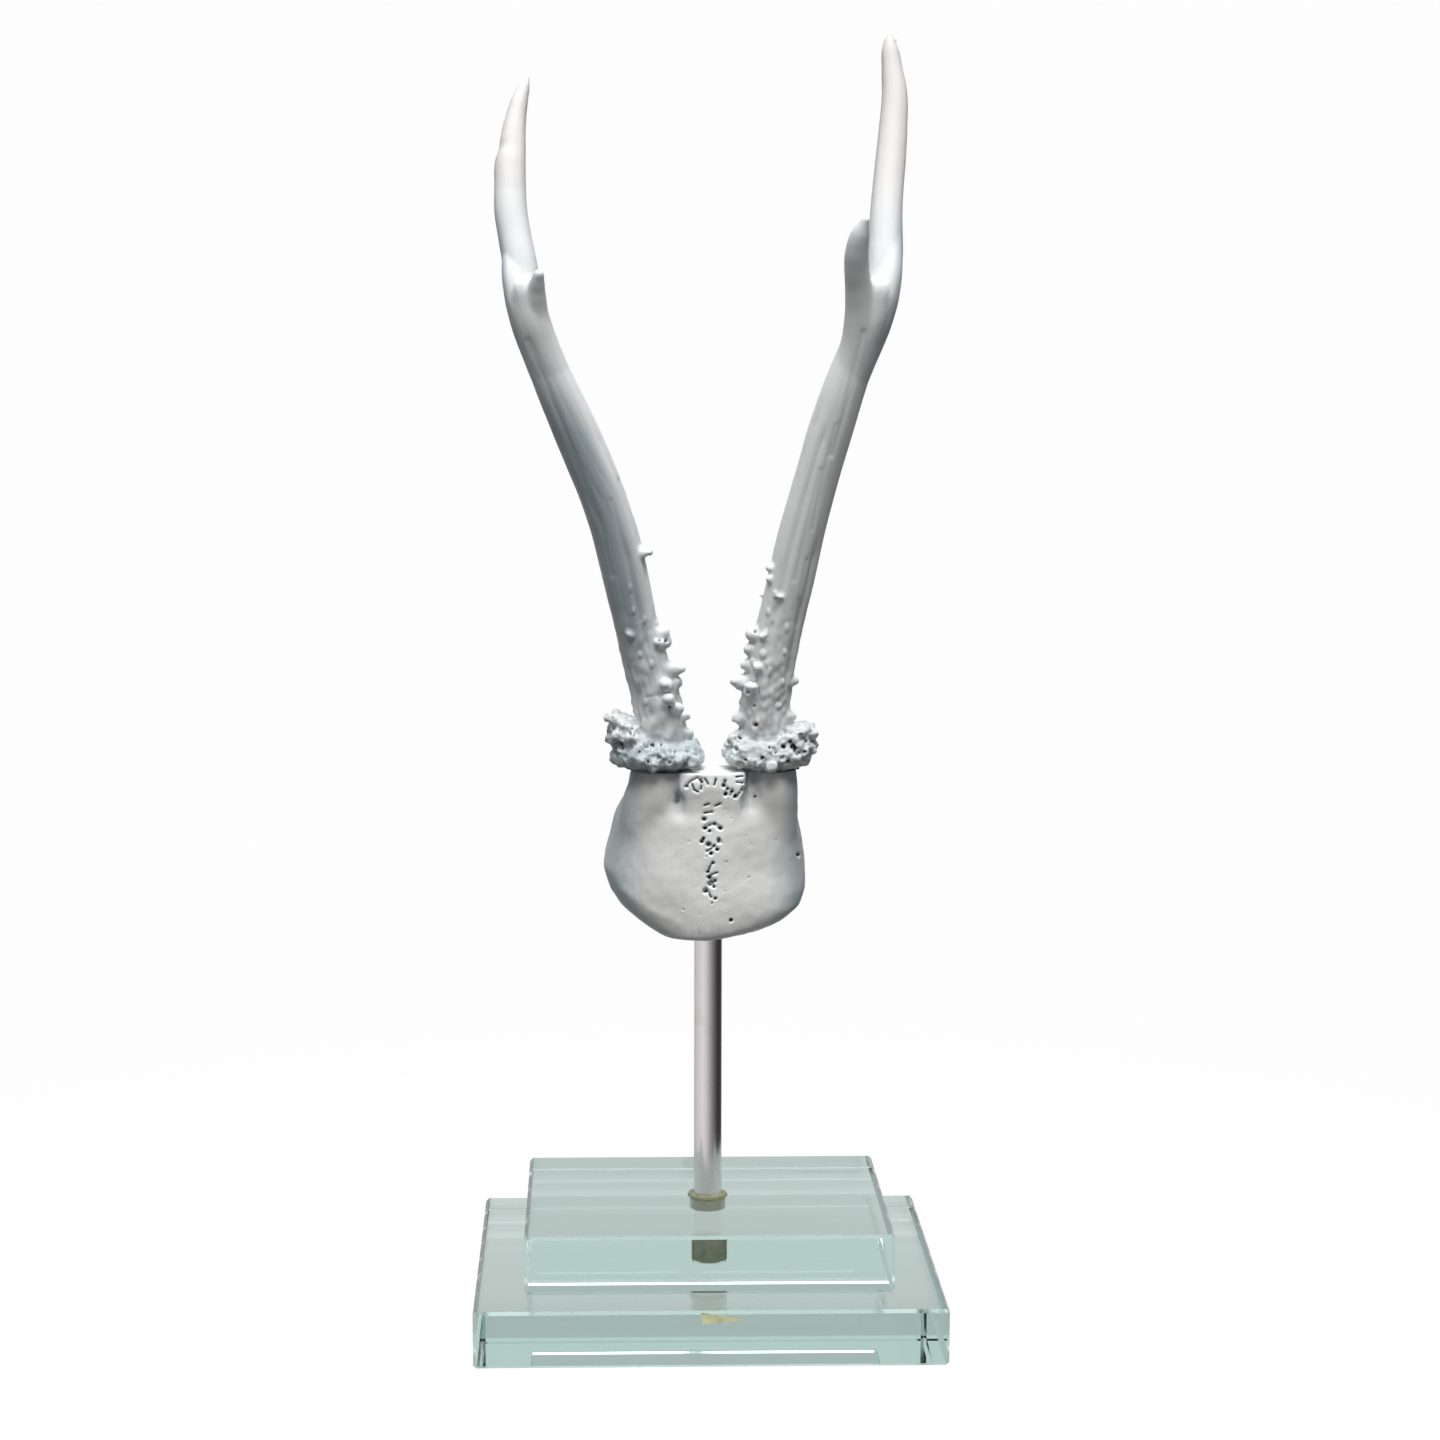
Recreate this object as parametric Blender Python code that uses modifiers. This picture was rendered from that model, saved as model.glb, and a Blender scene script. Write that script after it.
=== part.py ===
"""A pair of roe deer antlers on their cut skull plate, held up by a polished rod that is glued into
a base of two stacked glass slabs. Metres, +Z up, the front at -Y. The origin is the middle of the
underside of the base."""

import math

import bmesh
import bpy
import numpy as np
from mathutils import Matrix, Vector

OBJECT_NAME = "antlers_on_glass_base"

# Base: two slabs of float glass, width (X), depth (Y) and thickness (Z)
LOWER_SLAB = (0.151, 0.127, 0.0185)
UPPER_SLAB = (0.119, 0.094, 0.019)
ARRIS = 0.0010
GAP = 0.0003

# Rod and the blind hole that it is glued into
ROD_X = 0.0008
ROD_RADIUS = 0.00465
ROD_TOP = 0.1747
ROD_CHAMFER = 0.0004
HOLE_RADIUS = 0.0058
HOLE_DEPTH = 0.0175
GLUE_UNDER_ROD = 0.0010
GLUE_BEAD_HEIGHT = 0.0014
GLUE_BEAD_WIDTH = 0.0008
GLUE_ROUNDING = 0.0006

# The skull plate and the antlers are drawn from this height upwards: it is the zero of their tables
BONE_ZERO = 0.0015

# Skull plate: height, left edge, right edge, foremost and rearmost point of each section
SKULL_SECTIONS = (
    (0.1253, -0.0135, 0.0055, -0.0160, 0.022),
    (0.1274, -0.0184, 0.0190, -0.0166, 0.025),
    (0.1306, -0.0228, 0.0257, -0.0170, 0.028),
    (0.1352, -0.0280, 0.0315, -0.0172, 0.030),
    (0.1410, -0.0320, 0.0334, -0.0173, 0.032),
    (0.1480, -0.0342, 0.0332, -0.0172, 0.032),
    (0.1560, -0.0327, 0.0322, -0.0167, 0.032),
    (0.1640, -0.0306, 0.0312, -0.0154, 0.030),
    (0.1696, -0.0270, 0.0295, -0.0133, 0.022),
    (0.1736, -0.0230, 0.0265, -0.0102, 0.017),
    (0.1766, -0.0180, 0.0220, -0.0058, 0.013),
    (0.1784, -0.0120, 0.0160, 0.0000, 0.010),
)
SECTION_WAIST_Y = 0.004
SECTION_POINTS = 48
FRONT_SQUARENESS = 0.58
BACK_SQUARENESS = 0.5
FOREHEAD_PAD_CENTRE = (0.0020, -0.0035, 0.1720)
FOREHEAD_PAD_RADII = (0.0114, 0.0095, 0.0062)
PEDICLE_TOP = 0.1812
PEDICLES = (
    (
        (-0.0190, -0.0010, 0.1560, 0.0112), (-0.0178, -0.0020, 0.1690, 0.0104),
        (-0.0163, -0.0030, 0.1740, 0.0098), (-0.0159, -0.0034, 0.1780, 0.0093),
        (-0.0159, -0.0035, 0.1850, 0.0086),
    ),
    (
        (0.0216, -0.0010, 0.1560, 0.0104), (0.0215, -0.0020, 0.1700, 0.0091),
        (0.0214, -0.0030, 0.1740, 0.0086), (0.0214, -0.0034, 0.1780, 0.0082),
        (0.0214, -0.0035, 0.1850, 0.0078),
    ),
)
VAULT_CENTRE = (0.0010, 0.0080, 0.1575)
VAULT_RADII = (0.0240, 0.0240, 0.0221)
BRAIN_CENTRE = (0.0010, 0.0170, 0.1560)
BRAIN_RADII = (0.0190, 0.0215, 0.0158)
ORBIT_CENTRE = (0.0260, 0.0185, 0.1400)
ORBIT_RADII = (0.0150, 0.0160, 0.0125)
SAW_CUT_TOP = (0.0240, 0.1820)
SAW_CUT_BOTTOM = (0.0100, 0.1236)
ROD_CHANNEL_RADIUS = 0.0062
ROD_SOCKET_RADIUS = ROD_RADIUS + GAP
ROD_SOCKET_TOP = ROD_TOP - BONE_ZERO + GAP
SUTURE_PIT_Y = -0.0169
SUTURE_PITS = (
    (-0.0008, 0.1672, 0.0008), (-0.0006, 0.1618, 0.0013), (0.0030, 0.1622, 0.0012),
    (0.0012, 0.1605, 0.0008), (-0.0018, 0.1588, 0.0011), (0.0040, 0.1584, 0.0011),
    (0.0006, 0.1566, 0.0011), (0.0028, 0.1562, 0.0010), (0.0010, 0.1536, 0.0009),
    (0.0014, 0.1508, 0.0008), (0.0008, 0.1482, 0.0009), (0.0016, 0.1458, 0.0015),
    (0.0002, 0.1430, 0.0009),
)

# Antlers: axis points and radius (x, y, z, r) from the burr to the tip, then the front tine
LEFT_BEAM = (
    (-0.0148, -0.0040, 0.1790, 0.0088), (-0.0146, -0.0046, 0.1907, 0.0086),
    (-0.0166, -0.0060, 0.2041, 0.0080), (-0.0200, -0.0080, 0.2174, 0.0074),
    (-0.0233, -0.0102, 0.2307, 0.0071), (-0.0261, -0.0126, 0.2439, 0.0074),
    (-0.0292, -0.0150, 0.2570, 0.0075), (-0.0332, -0.0176, 0.2700, 0.0074),
    (-0.0382, -0.0202, 0.2829, 0.0074), (-0.0437, -0.0228, 0.2957, 0.0071),
    (-0.0493, -0.0252, 0.3083, 0.0065), (-0.0533, -0.0264, 0.3177, 0.0061),
    (-0.0564, -0.0266, 0.3271, 0.0058), (-0.0580, -0.0256, 0.3341, 0.0057),
    (-0.0595, -0.0226, 0.3448, 0.0055), (-0.0611, -0.0189, 0.3532, 0.0053),
    (-0.0623, -0.0152, 0.3609, 0.0053), (-0.0626, -0.0110, 0.3688, 0.0051),
    (-0.0626, -0.0070, 0.3760, 0.0050), (-0.0620, -0.0050, 0.3796, 0.0044),
    (-0.0618, -0.0026, 0.3841, 0.0041), (-0.0609, 0.0010, 0.3909, 0.0034),
    (-0.0598, 0.0036, 0.3961, 0.0028), (-0.0582, 0.0062, 0.4011, 0.0018),
    (-0.0572, 0.0076, 0.4039, 0.0008),
)
LEFT_TINE = (
    (-0.0493, -0.0245, 0.3083, 0.0058), (-0.0522, -0.0266, 0.3192, 0.0055),
    (-0.0536, -0.0300, 0.3281, 0.0045), (-0.0538, -0.0345, 0.3361, 0.0030),
    (-0.0534, -0.0378, 0.3400, 0.0020), (-0.0529, -0.0398, 0.3424, 0.0010),
)
RIGHT_BEAM = (
    (0.0198, -0.0040, 0.1790, 0.0085), (0.0193, -0.0046, 0.1906, 0.0082),
    (0.0191, -0.0060, 0.2040, 0.0080), (0.0211, -0.0080, 0.2173, 0.0079),
    (0.0238, -0.0102, 0.2306, 0.0076), (0.0267, -0.0126, 0.2438, 0.0076),
    (0.0294, -0.0150, 0.2569, 0.0075), (0.0326, -0.0176, 0.2699, 0.0073),
    (0.0360, -0.0202, 0.2828, 0.0072), (0.0396, -0.0228, 0.2956, 0.0071),
    (0.0436, -0.0252, 0.3083, 0.0067), (0.0470, -0.0264, 0.3177, 0.0063),
    (0.0499, -0.0266, 0.3252, 0.0060), (0.0521, -0.0260, 0.3311, 0.0058),
    (0.0546, -0.0242, 0.3390, 0.0056), (0.0554, -0.0225, 0.3450, 0.0056),
    (0.0557, -0.0203, 0.3499, 0.0055), (0.0562, -0.0155, 0.3601, 0.0052),
    (0.0570, -0.0115, 0.3678, 0.0050), (0.0583, -0.0061, 0.3776, 0.0049),
    (0.0595, -0.0005, 0.3881, 0.0046), (0.0603, 0.0046, 0.3981, 0.0042),
    (0.0599, 0.0082, 0.4053, 0.0036), (0.0594, 0.0115, 0.4125, 0.0029),
    (0.0593, 0.0129, 0.4161, 0.0018), (0.0594, 0.0135, 0.4177, 0.0009),
)
RIGHT_TINE = (
    (0.0436, -0.0245, 0.3083, 0.0060), (0.0464, -0.0268, 0.3182, 0.0057),
    (0.0468, -0.0300, 0.3281, 0.0048), (0.0460, -0.0336, 0.3365, 0.0042),
    (0.0452, -0.0370, 0.3426, 0.0039), (0.0451, -0.0398, 0.3483, 0.0037),
    (0.0460, -0.0424, 0.3539, 0.0029), (0.0474, -0.0440, 0.3578, 0.0014),
)

# Burr: the knobbly ring at the foot of an antler, which climbs on the side away from the other antler
BURR_BOTTOM = 0.1815
BURR_ROWS = 3
BURR_ROW_STEPS = (0.0, 0.0010, 0.0030)
BURR_LUMPS_PER_ROW = 17
BURR_RISE = 0.0105
LEFT_BURR = {
    "centre": (-0.0168, -0.0045), "reach": 0.0134, "side_reach": 0.0158,
    "outer": -1, "outer_rise": 1.0, "inner_rise": 0.1, "seed": 5,
}
RIGHT_BURR = {
    "centre": (0.0205, -0.0045), "reach": 0.0128, "side_reach": 0.0150,
    "outer": 1, "outer_rise": 0.68, "inner_rise": 0.3, "seed": 9,
}

# Knobs on the front and inner side of a beam: tip (x, z), radius at the foot and at the tip
LEFT_KNOBS = (
    (-0.0157, 0.2532, 0.0025, 0.0012), (-0.0118, 0.2272, 0.0032, 0.0024),
    (-0.0113, 0.2234, 0.0030, 0.0022), (-0.0056, 0.2148, 0.0036, 0.0014),
    (-0.0076, 0.2102, 0.0034, 0.0020), (-0.0124, 0.2046, 0.0038, 0.0019),
    (-0.0048, 0.1990, 0.0030, 0.0014), (-0.0050, 0.1932, 0.0030, 0.0018),
    (-0.0128, 0.2100, 0.0036, 0.0018), (-0.0152, 0.2235, 0.0024, 0.0014),
    (-0.0250, 0.2265, 0.0020, 0.0012), (-0.0096, 0.2020, 0.0030, 0.0018),
)
RIGHT_KNOBS = (
    (0.0192, 0.2480, 0.0022, 0.0014), (0.0194, 0.2445, 0.0020, 0.0012),
    (0.0131, 0.2262, 0.0031, 0.0022), (0.0122, 0.2213, 0.0030, 0.0019),
    (0.0102, 0.2160, 0.0030, 0.0016), (0.0059, 0.2106, 0.0038, 0.0015),
    (0.0136, 0.2078, 0.0036, 0.0019), (0.0158, 0.2158, 0.0028, 0.0014),
    (0.0074, 0.1982, 0.0033, 0.0019), (0.0078, 0.1928, 0.0031, 0.0017),
    (0.0306, 0.2106, 0.0024, 0.0013), (0.0176, 0.2262, 0.0024, 0.0013),
    (0.0228, 0.2390, 0.0018, 0.0010), (0.0288, 0.1990, 0.0024, 0.0014),
    (0.0150, 0.2215, 0.0022, 0.0013),
)
BACK_KNOBS = 16
BACK_KNOB_HEIGHTS = (0.192, 0.246)
BURR_PITS = 12

# Furrows along a beam: direction at the low and at the high end (degrees, 0 to the front, + to the
# viewer's right), low and high end, depth, half width
LEFT_FURROWS = (
    (-30, -26, 0.232, 0.322, 0.0008, 0.0012), (-56, -52, 0.188, 0.222, 0.0008, 0.0011),
    (14, 20, 0.214, 0.262, 0.0006, 0.0015), (75, 60, 0.235, 0.300, 0.0006, 0.0013),
    (150, 160, 0.200, 0.330, 0.0007, 0.0013), (-120, -130, 0.195, 0.310, 0.0006, 0.0013),
)
RIGHT_FURROWS = (
    (24, -8, 0.288, 0.326, 0.0009, 0.0012), (48, 44, 0.205, 0.262, 0.0008, 0.0012),
    (-22, -20, 0.225, 0.300, 0.0005, 0.0015), (-70, -62, 0.240, 0.305, 0.0006, 0.0013),
    (-150, -160, 0.200, 0.330, 0.0007, 0.0013), (120, 130, 0.195, 0.310, 0.0006, 0.0013),
)
FURROW_FADE = 0.010

LEFT_ANTLER = {
    "beam": LEFT_BEAM, "tine": LEFT_TINE, "pedicle": PEDICLES[0],
    "burr": LEFT_BURR, "knobs": LEFT_KNOBS, "furrows": LEFT_FURROWS,
}
RIGHT_ANTLER = {
    "beam": RIGHT_BEAM, "tine": RIGHT_TINE, "pedicle": PEDICLES[1],
    "burr": RIGHT_BURR, "knobs": RIGHT_KNOBS, "furrows": RIGHT_FURROWS,
}

VOXEL = 0.0009
SKULL_VOXEL = 0.0010
ANTLER_TRIANGLES = 3000
SKULL_TRIANGLES = 2500
SHARP_ANGLE = math.radians(50)


def clear_scene():
    for obj in list(bpy.data.objects):
        bpy.data.objects.remove(obj, do_unlink=True)


def make_collection(name):
    collection = bpy.data.collections.new(name)
    bpy.context.scene.collection.children.link(collection)
    return collection


def make_material(name, colour, roughness, metallic=0.0, transmission=0.0, ior=1.5):
    material = bpy.data.materials.new(name)
    material.use_nodes = True
    shader = material.node_tree.nodes["Principled BSDF"]
    shader.inputs["Base Color"].default_value = (*colour, 1.0)
    shader.inputs["Roughness"].default_value = roughness
    shader.inputs["Metallic"].default_value = metallic
    shader.inputs["Transmission Weight"].default_value = transmission
    shader.inputs["IOR"].default_value = ior
    return material


def add_object(name, mesh, collection, material=None):
    obj = bpy.data.objects.new(name, mesh)
    collection.objects.link(obj)
    if material:
        mesh.materials.clear()
        mesh.materials.append(material)
    return obj


def add_cutter(name, bm, collection):
    mesh = bpy.data.meshes.new(name)
    bmesh.ops.recalc_face_normals(bm, faces=bm.faces)
    bm.to_mesh(mesh)
    bm.free()
    cutter = add_object(name, mesh, collection)
    cutter.hide_render = True
    cutter.display_type = "WIRE"
    return cutter


def add_boolean(obj, cutter, operation="DIFFERENCE", own_overlaps=False):
    modifier = obj.modifiers.new(f"{operation.lower()}_{cutter.name}", "BOOLEAN")
    modifier.object = cutter
    modifier.operation = operation
    modifier.solver = "EXACT"
    modifier.use_self = own_overlaps


def evaluated_mesh(obj):
    """The object's mesh with its modifiers applied."""
    graph = bpy.context.evaluated_depsgraph_get()
    graph.update()
    return bpy.data.meshes.new_from_object(obj.evaluated_get(graph))


def apply_modifiers(obj):
    mesh = evaluated_mesh(obj)
    material = obj.data.materials[0] if obj.data.materials else None
    old = obj.data
    obj.modifiers.clear()
    obj.data = mesh
    bpy.data.meshes.remove(old)
    if material:
        mesh.materials.clear()
        mesh.materials.append(material)


def add_ball(bm, centre, radii, subdivisions=2):
    """A closed ball, stretched to its three radii."""
    radii = (radii, radii, radii) if isinstance(radii, float) else radii
    place = Matrix.Translation(centre) @ Matrix.Diagonal((*radii, 1.0))
    bmesh.ops.create_icosphere(bm, subdivisions=subdivisions, radius=1.0, matrix=place)


def add_knob(bm, foot, tip, foot_radius, tip_radius, steps=4):
    """A blunt spike: balls that shrink from its foot to its tip."""
    for step in range(steps + 1):
        part = step / steps
        radius = foot_radius + (tip_radius - foot_radius) * part
        add_ball(bm, foot.lerp(tip, part), radius, 1 if radius < 0.001 else 2)


def add_tube(bm, stations):
    """A round tube through (x, y, z, radius) stations, with closed ends."""
    curve = bpy.data.curves.new("tube", "CURVE")
    curve.dimensions = "3D"
    curve.bevel_depth = 1.0
    curve.bevel_resolution = 4
    curve.use_fill_caps = True
    curve.resolution_u = 4
    spline = curve.splines.new("BEZIER")
    spline.bezier_points.add(len(stations) - 1)
    spline.radius_interpolation = "CARDINAL"
    for point, (x, y, z, radius) in zip(spline.bezier_points, stations):
        point.co = (x, y, z)
        point.radius = radius
        point.handle_left_type = point.handle_right_type = "AUTO"
    guide = bpy.data.objects.new("tube", curve)
    bpy.context.scene.collection.objects.link(guide)
    mesh = evaluated_mesh(guide)
    bpy.data.objects.remove(guide)
    bpy.data.curves.remove(curve)
    bm.from_mesh(mesh)
    bpy.data.meshes.remove(mesh)
    bmesh.ops.remove_doubles(bm, verts=bm.verts, dist=1e-7)
    x, y, z, radius = stations[-1]
    add_ball(bm, (x, y, z), radius)


def axis_at(stations, height):
    """The beam's axis point and radius at a height."""
    heights = [s[2] for s in stations]
    return (
        Vector([float(np.interp(height, heights, [s[i] for s in stations])) for i in range(3)]),
        float(np.interp(height, heights, [s[3] for s in stations])),
    )


def add_front_knobs(bm, stations, knobs):
    """Knobs whose tips lie at a given (x, z) in the front view, on the front half of the beam."""
    for x, z, foot_radius, tip_radius in knobs:
        axis, radius = axis_at(stations, z)
        across = (x - axis.x) / (radius + 0.5 * tip_radius)
        turn = math.asin(max(-0.97, min(0.97, across)))
        reach = max(radius + 0.6 * tip_radius, abs(x - axis.x) - tip_radius)
        outward = Vector((math.sin(turn), -math.cos(turn), 0.0))
        foot = axis + outward * (radius - 0.8 * foot_radius) - Vector((0, 0, 0.3 * foot_radius))
        add_knob(bm, foot, axis + outward * reach, foot_radius, tip_radius)


def add_back_knobs(bm, stations, inner_side, rng):
    """Small knobs scattered over the back and the inner side of the lower beam."""
    for _ in range(BACK_KNOBS):
        z = rng.uniform(*BACK_KNOB_HEIGHTS)
        axis, radius = axis_at(stations, z)
        turn = inner_side * rng.uniform(math.radians(75), math.radians(200))
        outward = Vector((math.sin(turn), -math.cos(turn), 0.25)).normalized()
        size = rng.uniform(0.0012, 0.0024)
        foot = axis + outward * (radius - 0.7 * size)
        add_knob(bm, foot, foot + outward * rng.uniform(0.9, 1.9) * size, size, 0.55 * size)


def burr_rise(burr, turn):
    """How far the burr has climbed in a direction: most on the side away from the other antler."""
    away = burr["outer"] * math.sin(turn)
    return burr["outer_rise"] * away ** 1.6 if away > 0 else burr["inner_rise"] * away ** 2


def burr_reach(burr, turn):
    """How far the burr stands out in a direction: more to the sides than to the front and back."""
    return burr["reach"] + (burr["side_reach"] - burr["reach"]) * math.sin(turn) ** 2


def add_burr(bm, burr, rng):
    """Rows of lumps round the foot of the beam."""
    cx, cy = burr["centre"]
    for row in range(BURR_ROWS):
        for k in range(BURR_LUMPS_PER_ROW):
            turn = 2 * math.pi * (k + 0.5 * row + rng.uniform(-0.25, 0.25)) / BURR_LUMPS_PER_ROW
            rise = burr_rise(burr, turn)
            size = rng.uniform(0.0017, 0.0031)
            reach = burr_reach(burr, turn) + rng.uniform(-0.0014, 0.0008)
            reach -= BURR_ROW_STEPS[row] * (1 - 0.8 * rise)
            height = BURR_BOTTOM + 0.0016 + row * (0.0024 + 0.0018 * rise)
            height += BURR_RISE * 0.62 * rise + rng.uniform(-0.0005, 0.0007)
            outward = Vector((math.sin(turn), -math.cos(turn), 0.0))
            lump = Vector((cx, cy, height)) + outward * (reach - size * 0.4)
            root = Vector((cx, cy, height - 0.35 * BURR_RISE * rise)) + outward * reach * 0.45
            add_knob(bm, root, lump, 0.0034, size, 3)


def pit_cutter(name, centres, collection):
    bm = bmesh.new()
    for centre, radius in centres:
        add_ball(bm, centre, radius, 1)
    return add_cutter(name, bm, collection)


def box_cutter(name, low, high, collection):
    bm = bmesh.new()
    middle = (Vector(low) + Vector(high)) / 2
    size = Vector(high) - Vector(low)
    bmesh.ops.create_cube(bm, size=1.0, matrix=Matrix.Translation(middle) @ Matrix.Diagonal((*size, 1.0)))
    return add_cutter(name, bm, collection)


def fuse(obj, voxel, smoothing):
    """Overlapping closed shapes become one softened skin."""
    remesh = obj.modifiers.new("fuse", "REMESH")
    remesh.mode = "VOXEL"
    remesh.voxel_size = voxel
    soften = obj.modifiers.new("soften", "SMOOTH")
    soften.factor = 0.5
    soften.iterations = smoothing
    apply_modifiers(obj)


def thin(obj, triangles):
    """Leaves about this many triangles, where the shape needs them most."""
    obj.data.calc_loop_triangles()
    decimate = obj.modifiers.new("thin", "DECIMATE")
    decimate.ratio = triangles / len(obj.data.loop_triangles)
    apply_modifiers(obj)


def raise_to_stand(obj):
    """Lifts a finished bone piece from its drawing height to its place over the base."""
    obj.data.transform(Matrix.Translation((0, 0, BONE_ZERO)))
    obj.data.update()


def carve_furrows(mesh, stations, furrows):
    """Presses long shallow furrows into the beam, along its length."""
    points = np.empty(len(mesh.vertices) * 3, np.float32)
    mesh.vertices.foreach_get("co", points)
    points = points.reshape(-1, 3).astype(float)
    heights = [s[2] for s in stations]
    axis_x, axis_y, radius = (np.interp(points[:, 2], heights, [s[i] for s in stations]) for i in (0, 1, 3))
    out_x, out_y = points[:, 0] - axis_x, points[:, 1] - axis_y
    reach = np.hypot(out_x, out_y) + 1e-9
    turn = np.arctan2(out_x, -out_y)
    depth = np.zeros(len(points))
    for low_turn, high_turn, low, high, deepest, half_width in furrows:
        middle = np.radians(np.interp(points[:, 2], (low, high), (low_turn, high_turn)))
        away = np.angle(np.exp(1j * (turn - middle))) * radius
        from_end = np.minimum(points[:, 2] - low, high - points[:, 2])
        fade = np.clip(from_end / FURROW_FADE, 0, 1) ** 2
        depth += deepest * fade * np.exp(-((away / half_width) ** 2))
    depth *= reach < 1.35 * radius
    points[:, 0] -= out_x / reach * depth
    points[:, 1] -= out_y / reach * depth
    mesh.vertices.foreach_set("co", points.astype(np.float32).ravel())
    mesh.update()


def burr_pits(burr, rng):
    """Centres and radii of the pits round the outside of the burr."""
    cx, cy = burr["centre"]
    pits = []
    for k in range(BURR_PITS):
        turn = 2 * math.pi * (k + rng.uniform(-0.3, 0.3)) / BURR_PITS
        rise = burr_rise(burr, turn)
        reach = burr_reach(burr, turn) + 0.0008
        height = BURR_BOTTOM + rng.uniform(0.0030, 0.0060) + BURR_RISE * 0.7 * rise
        centre = (cx + reach * math.sin(turn), cy - reach * math.cos(turn), height)
        pits.append((centre, rng.uniform(0.0011, 0.0017)))
    return pits


def make_antler(name, antler_form, parts, cutters, material):
    """One antler: beam, front tine, burr and knobs fused in one piece with a flat underside."""
    beam, burr = antler_form["beam"], antler_form["burr"]
    rng = np.random.default_rng(burr["seed"])
    bm = bmesh.new()
    x, y, z, radius = antler_form["pedicle"][-1]
    below, above = PEDICLE_TOP - 0.003, z + 0.003
    add_tube(bm, ((x, y, below, radius + 0.0016), (x, y, z, radius), (x, y, above, radius - 0.002)))
    add_tube(bm, beam)
    add_tube(bm, antler_form["tine"])
    add_front_knobs(bm, beam, antler_form["knobs"])
    add_back_knobs(bm, beam, -burr["outer"], rng)
    add_burr(bm, burr, rng)
    mesh = bpy.data.meshes.new(name)
    bm.to_mesh(mesh)
    bm.free()
    antler = add_object(name, mesh, parts, material)
    fuse(antler, VOXEL, 2)
    carve_furrows(antler.data, beam, antler_form["furrows"])
    add_boolean(antler, pit_cutter(f"{name}_pits", burr_pits(burr, rng), cutters))
    cx, cy = burr["centre"]
    low, high = (cx - 0.03, cy - 0.03, 0.160), (cx + 0.03, cy + 0.03, BURR_BOTTOM)
    add_boolean(antler, box_cutter(f"{name}_foot", low, high, cutters))
    apply_modifiers(antler)
    thin(antler, ANTLER_TRIANGLES)
    raise_to_stand(antler)
    return antler


def section_ring(height, left, right, front, back):
    """One closed section of the skull: an oval, squared a little at the front and more at the back."""
    ring = []
    for k in range(SECTION_POINTS):
        turn = 2 * math.pi * k / SECTION_POINTS
        x = (left + right) / 2 - (right - left) / 2 * math.cos(turn)
        at_front = math.sin(turn) > 0
        bulge = abs(math.sin(turn)) ** (FRONT_SQUARENESS if at_front else BACK_SQUARENESS)
        depth = front if at_front else back
        ring.append((x, SECTION_WAIST_Y + (depth - SECTION_WAIST_Y) * bulge, height))
    return ring


def add_frontal_bone(bm):
    """A loft through the sections of the skull, each of another width, bulge and depth."""
    rings = [[bm.verts.new(p) for p in section_ring(*s)] for s in SKULL_SECTIONS]
    for low, high in zip(rings, rings[1:]):
        for k in range(SECTION_POINTS):
            n = (k + 1) % SECTION_POINTS
            bm.faces.new((low[k], low[n], high[n], high[k]))
    bm.faces.new(list(reversed(rings[0])))
    bm.faces.new(rings[-1])


def round_cutter(name, radius, low, high, collection):
    """An upright cylinder on the rod's axis, between two heights."""
    bm = bmesh.new()
    place = Matrix.Translation((ROD_X, 0, (low + high) / 2))
    bmesh.ops.create_cone(
        bm, cap_ends=True, segments=32, radius1=radius, radius2=radius, depth=high - low, matrix=place
    )
    return add_cutter(name, bm, collection)


def ball_cutter(name, centre, radii, collection):
    bm = bmesh.new()
    add_ball(bm, centre, radii, 4)
    return add_cutter(name, bm, collection)


def saw_cutter(collection):
    """Everything behind the sloping plane of the saw cut."""
    (top_y, top_z), (bottom_y, bottom_z) = SAW_CUT_TOP, SAW_CUT_BOTTOM
    slope = (top_y - bottom_y) / (top_z - bottom_z)
    low, high, far, half_width = bottom_z - 0.01, top_z + 0.02, 0.08, 0.06
    edge = ((bottom_y - 0.01 * slope, low), (far, low), (far, high), (top_y + 0.02 * slope, high))
    bm = bmesh.new()
    for x in (-half_width, half_width):
        for y, z in edge:
            bm.verts.new((x, y, z))
    bmesh.ops.convex_hull(bm, input=bm.verts)
    return add_cutter("saw_cut", bm, collection)


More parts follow.
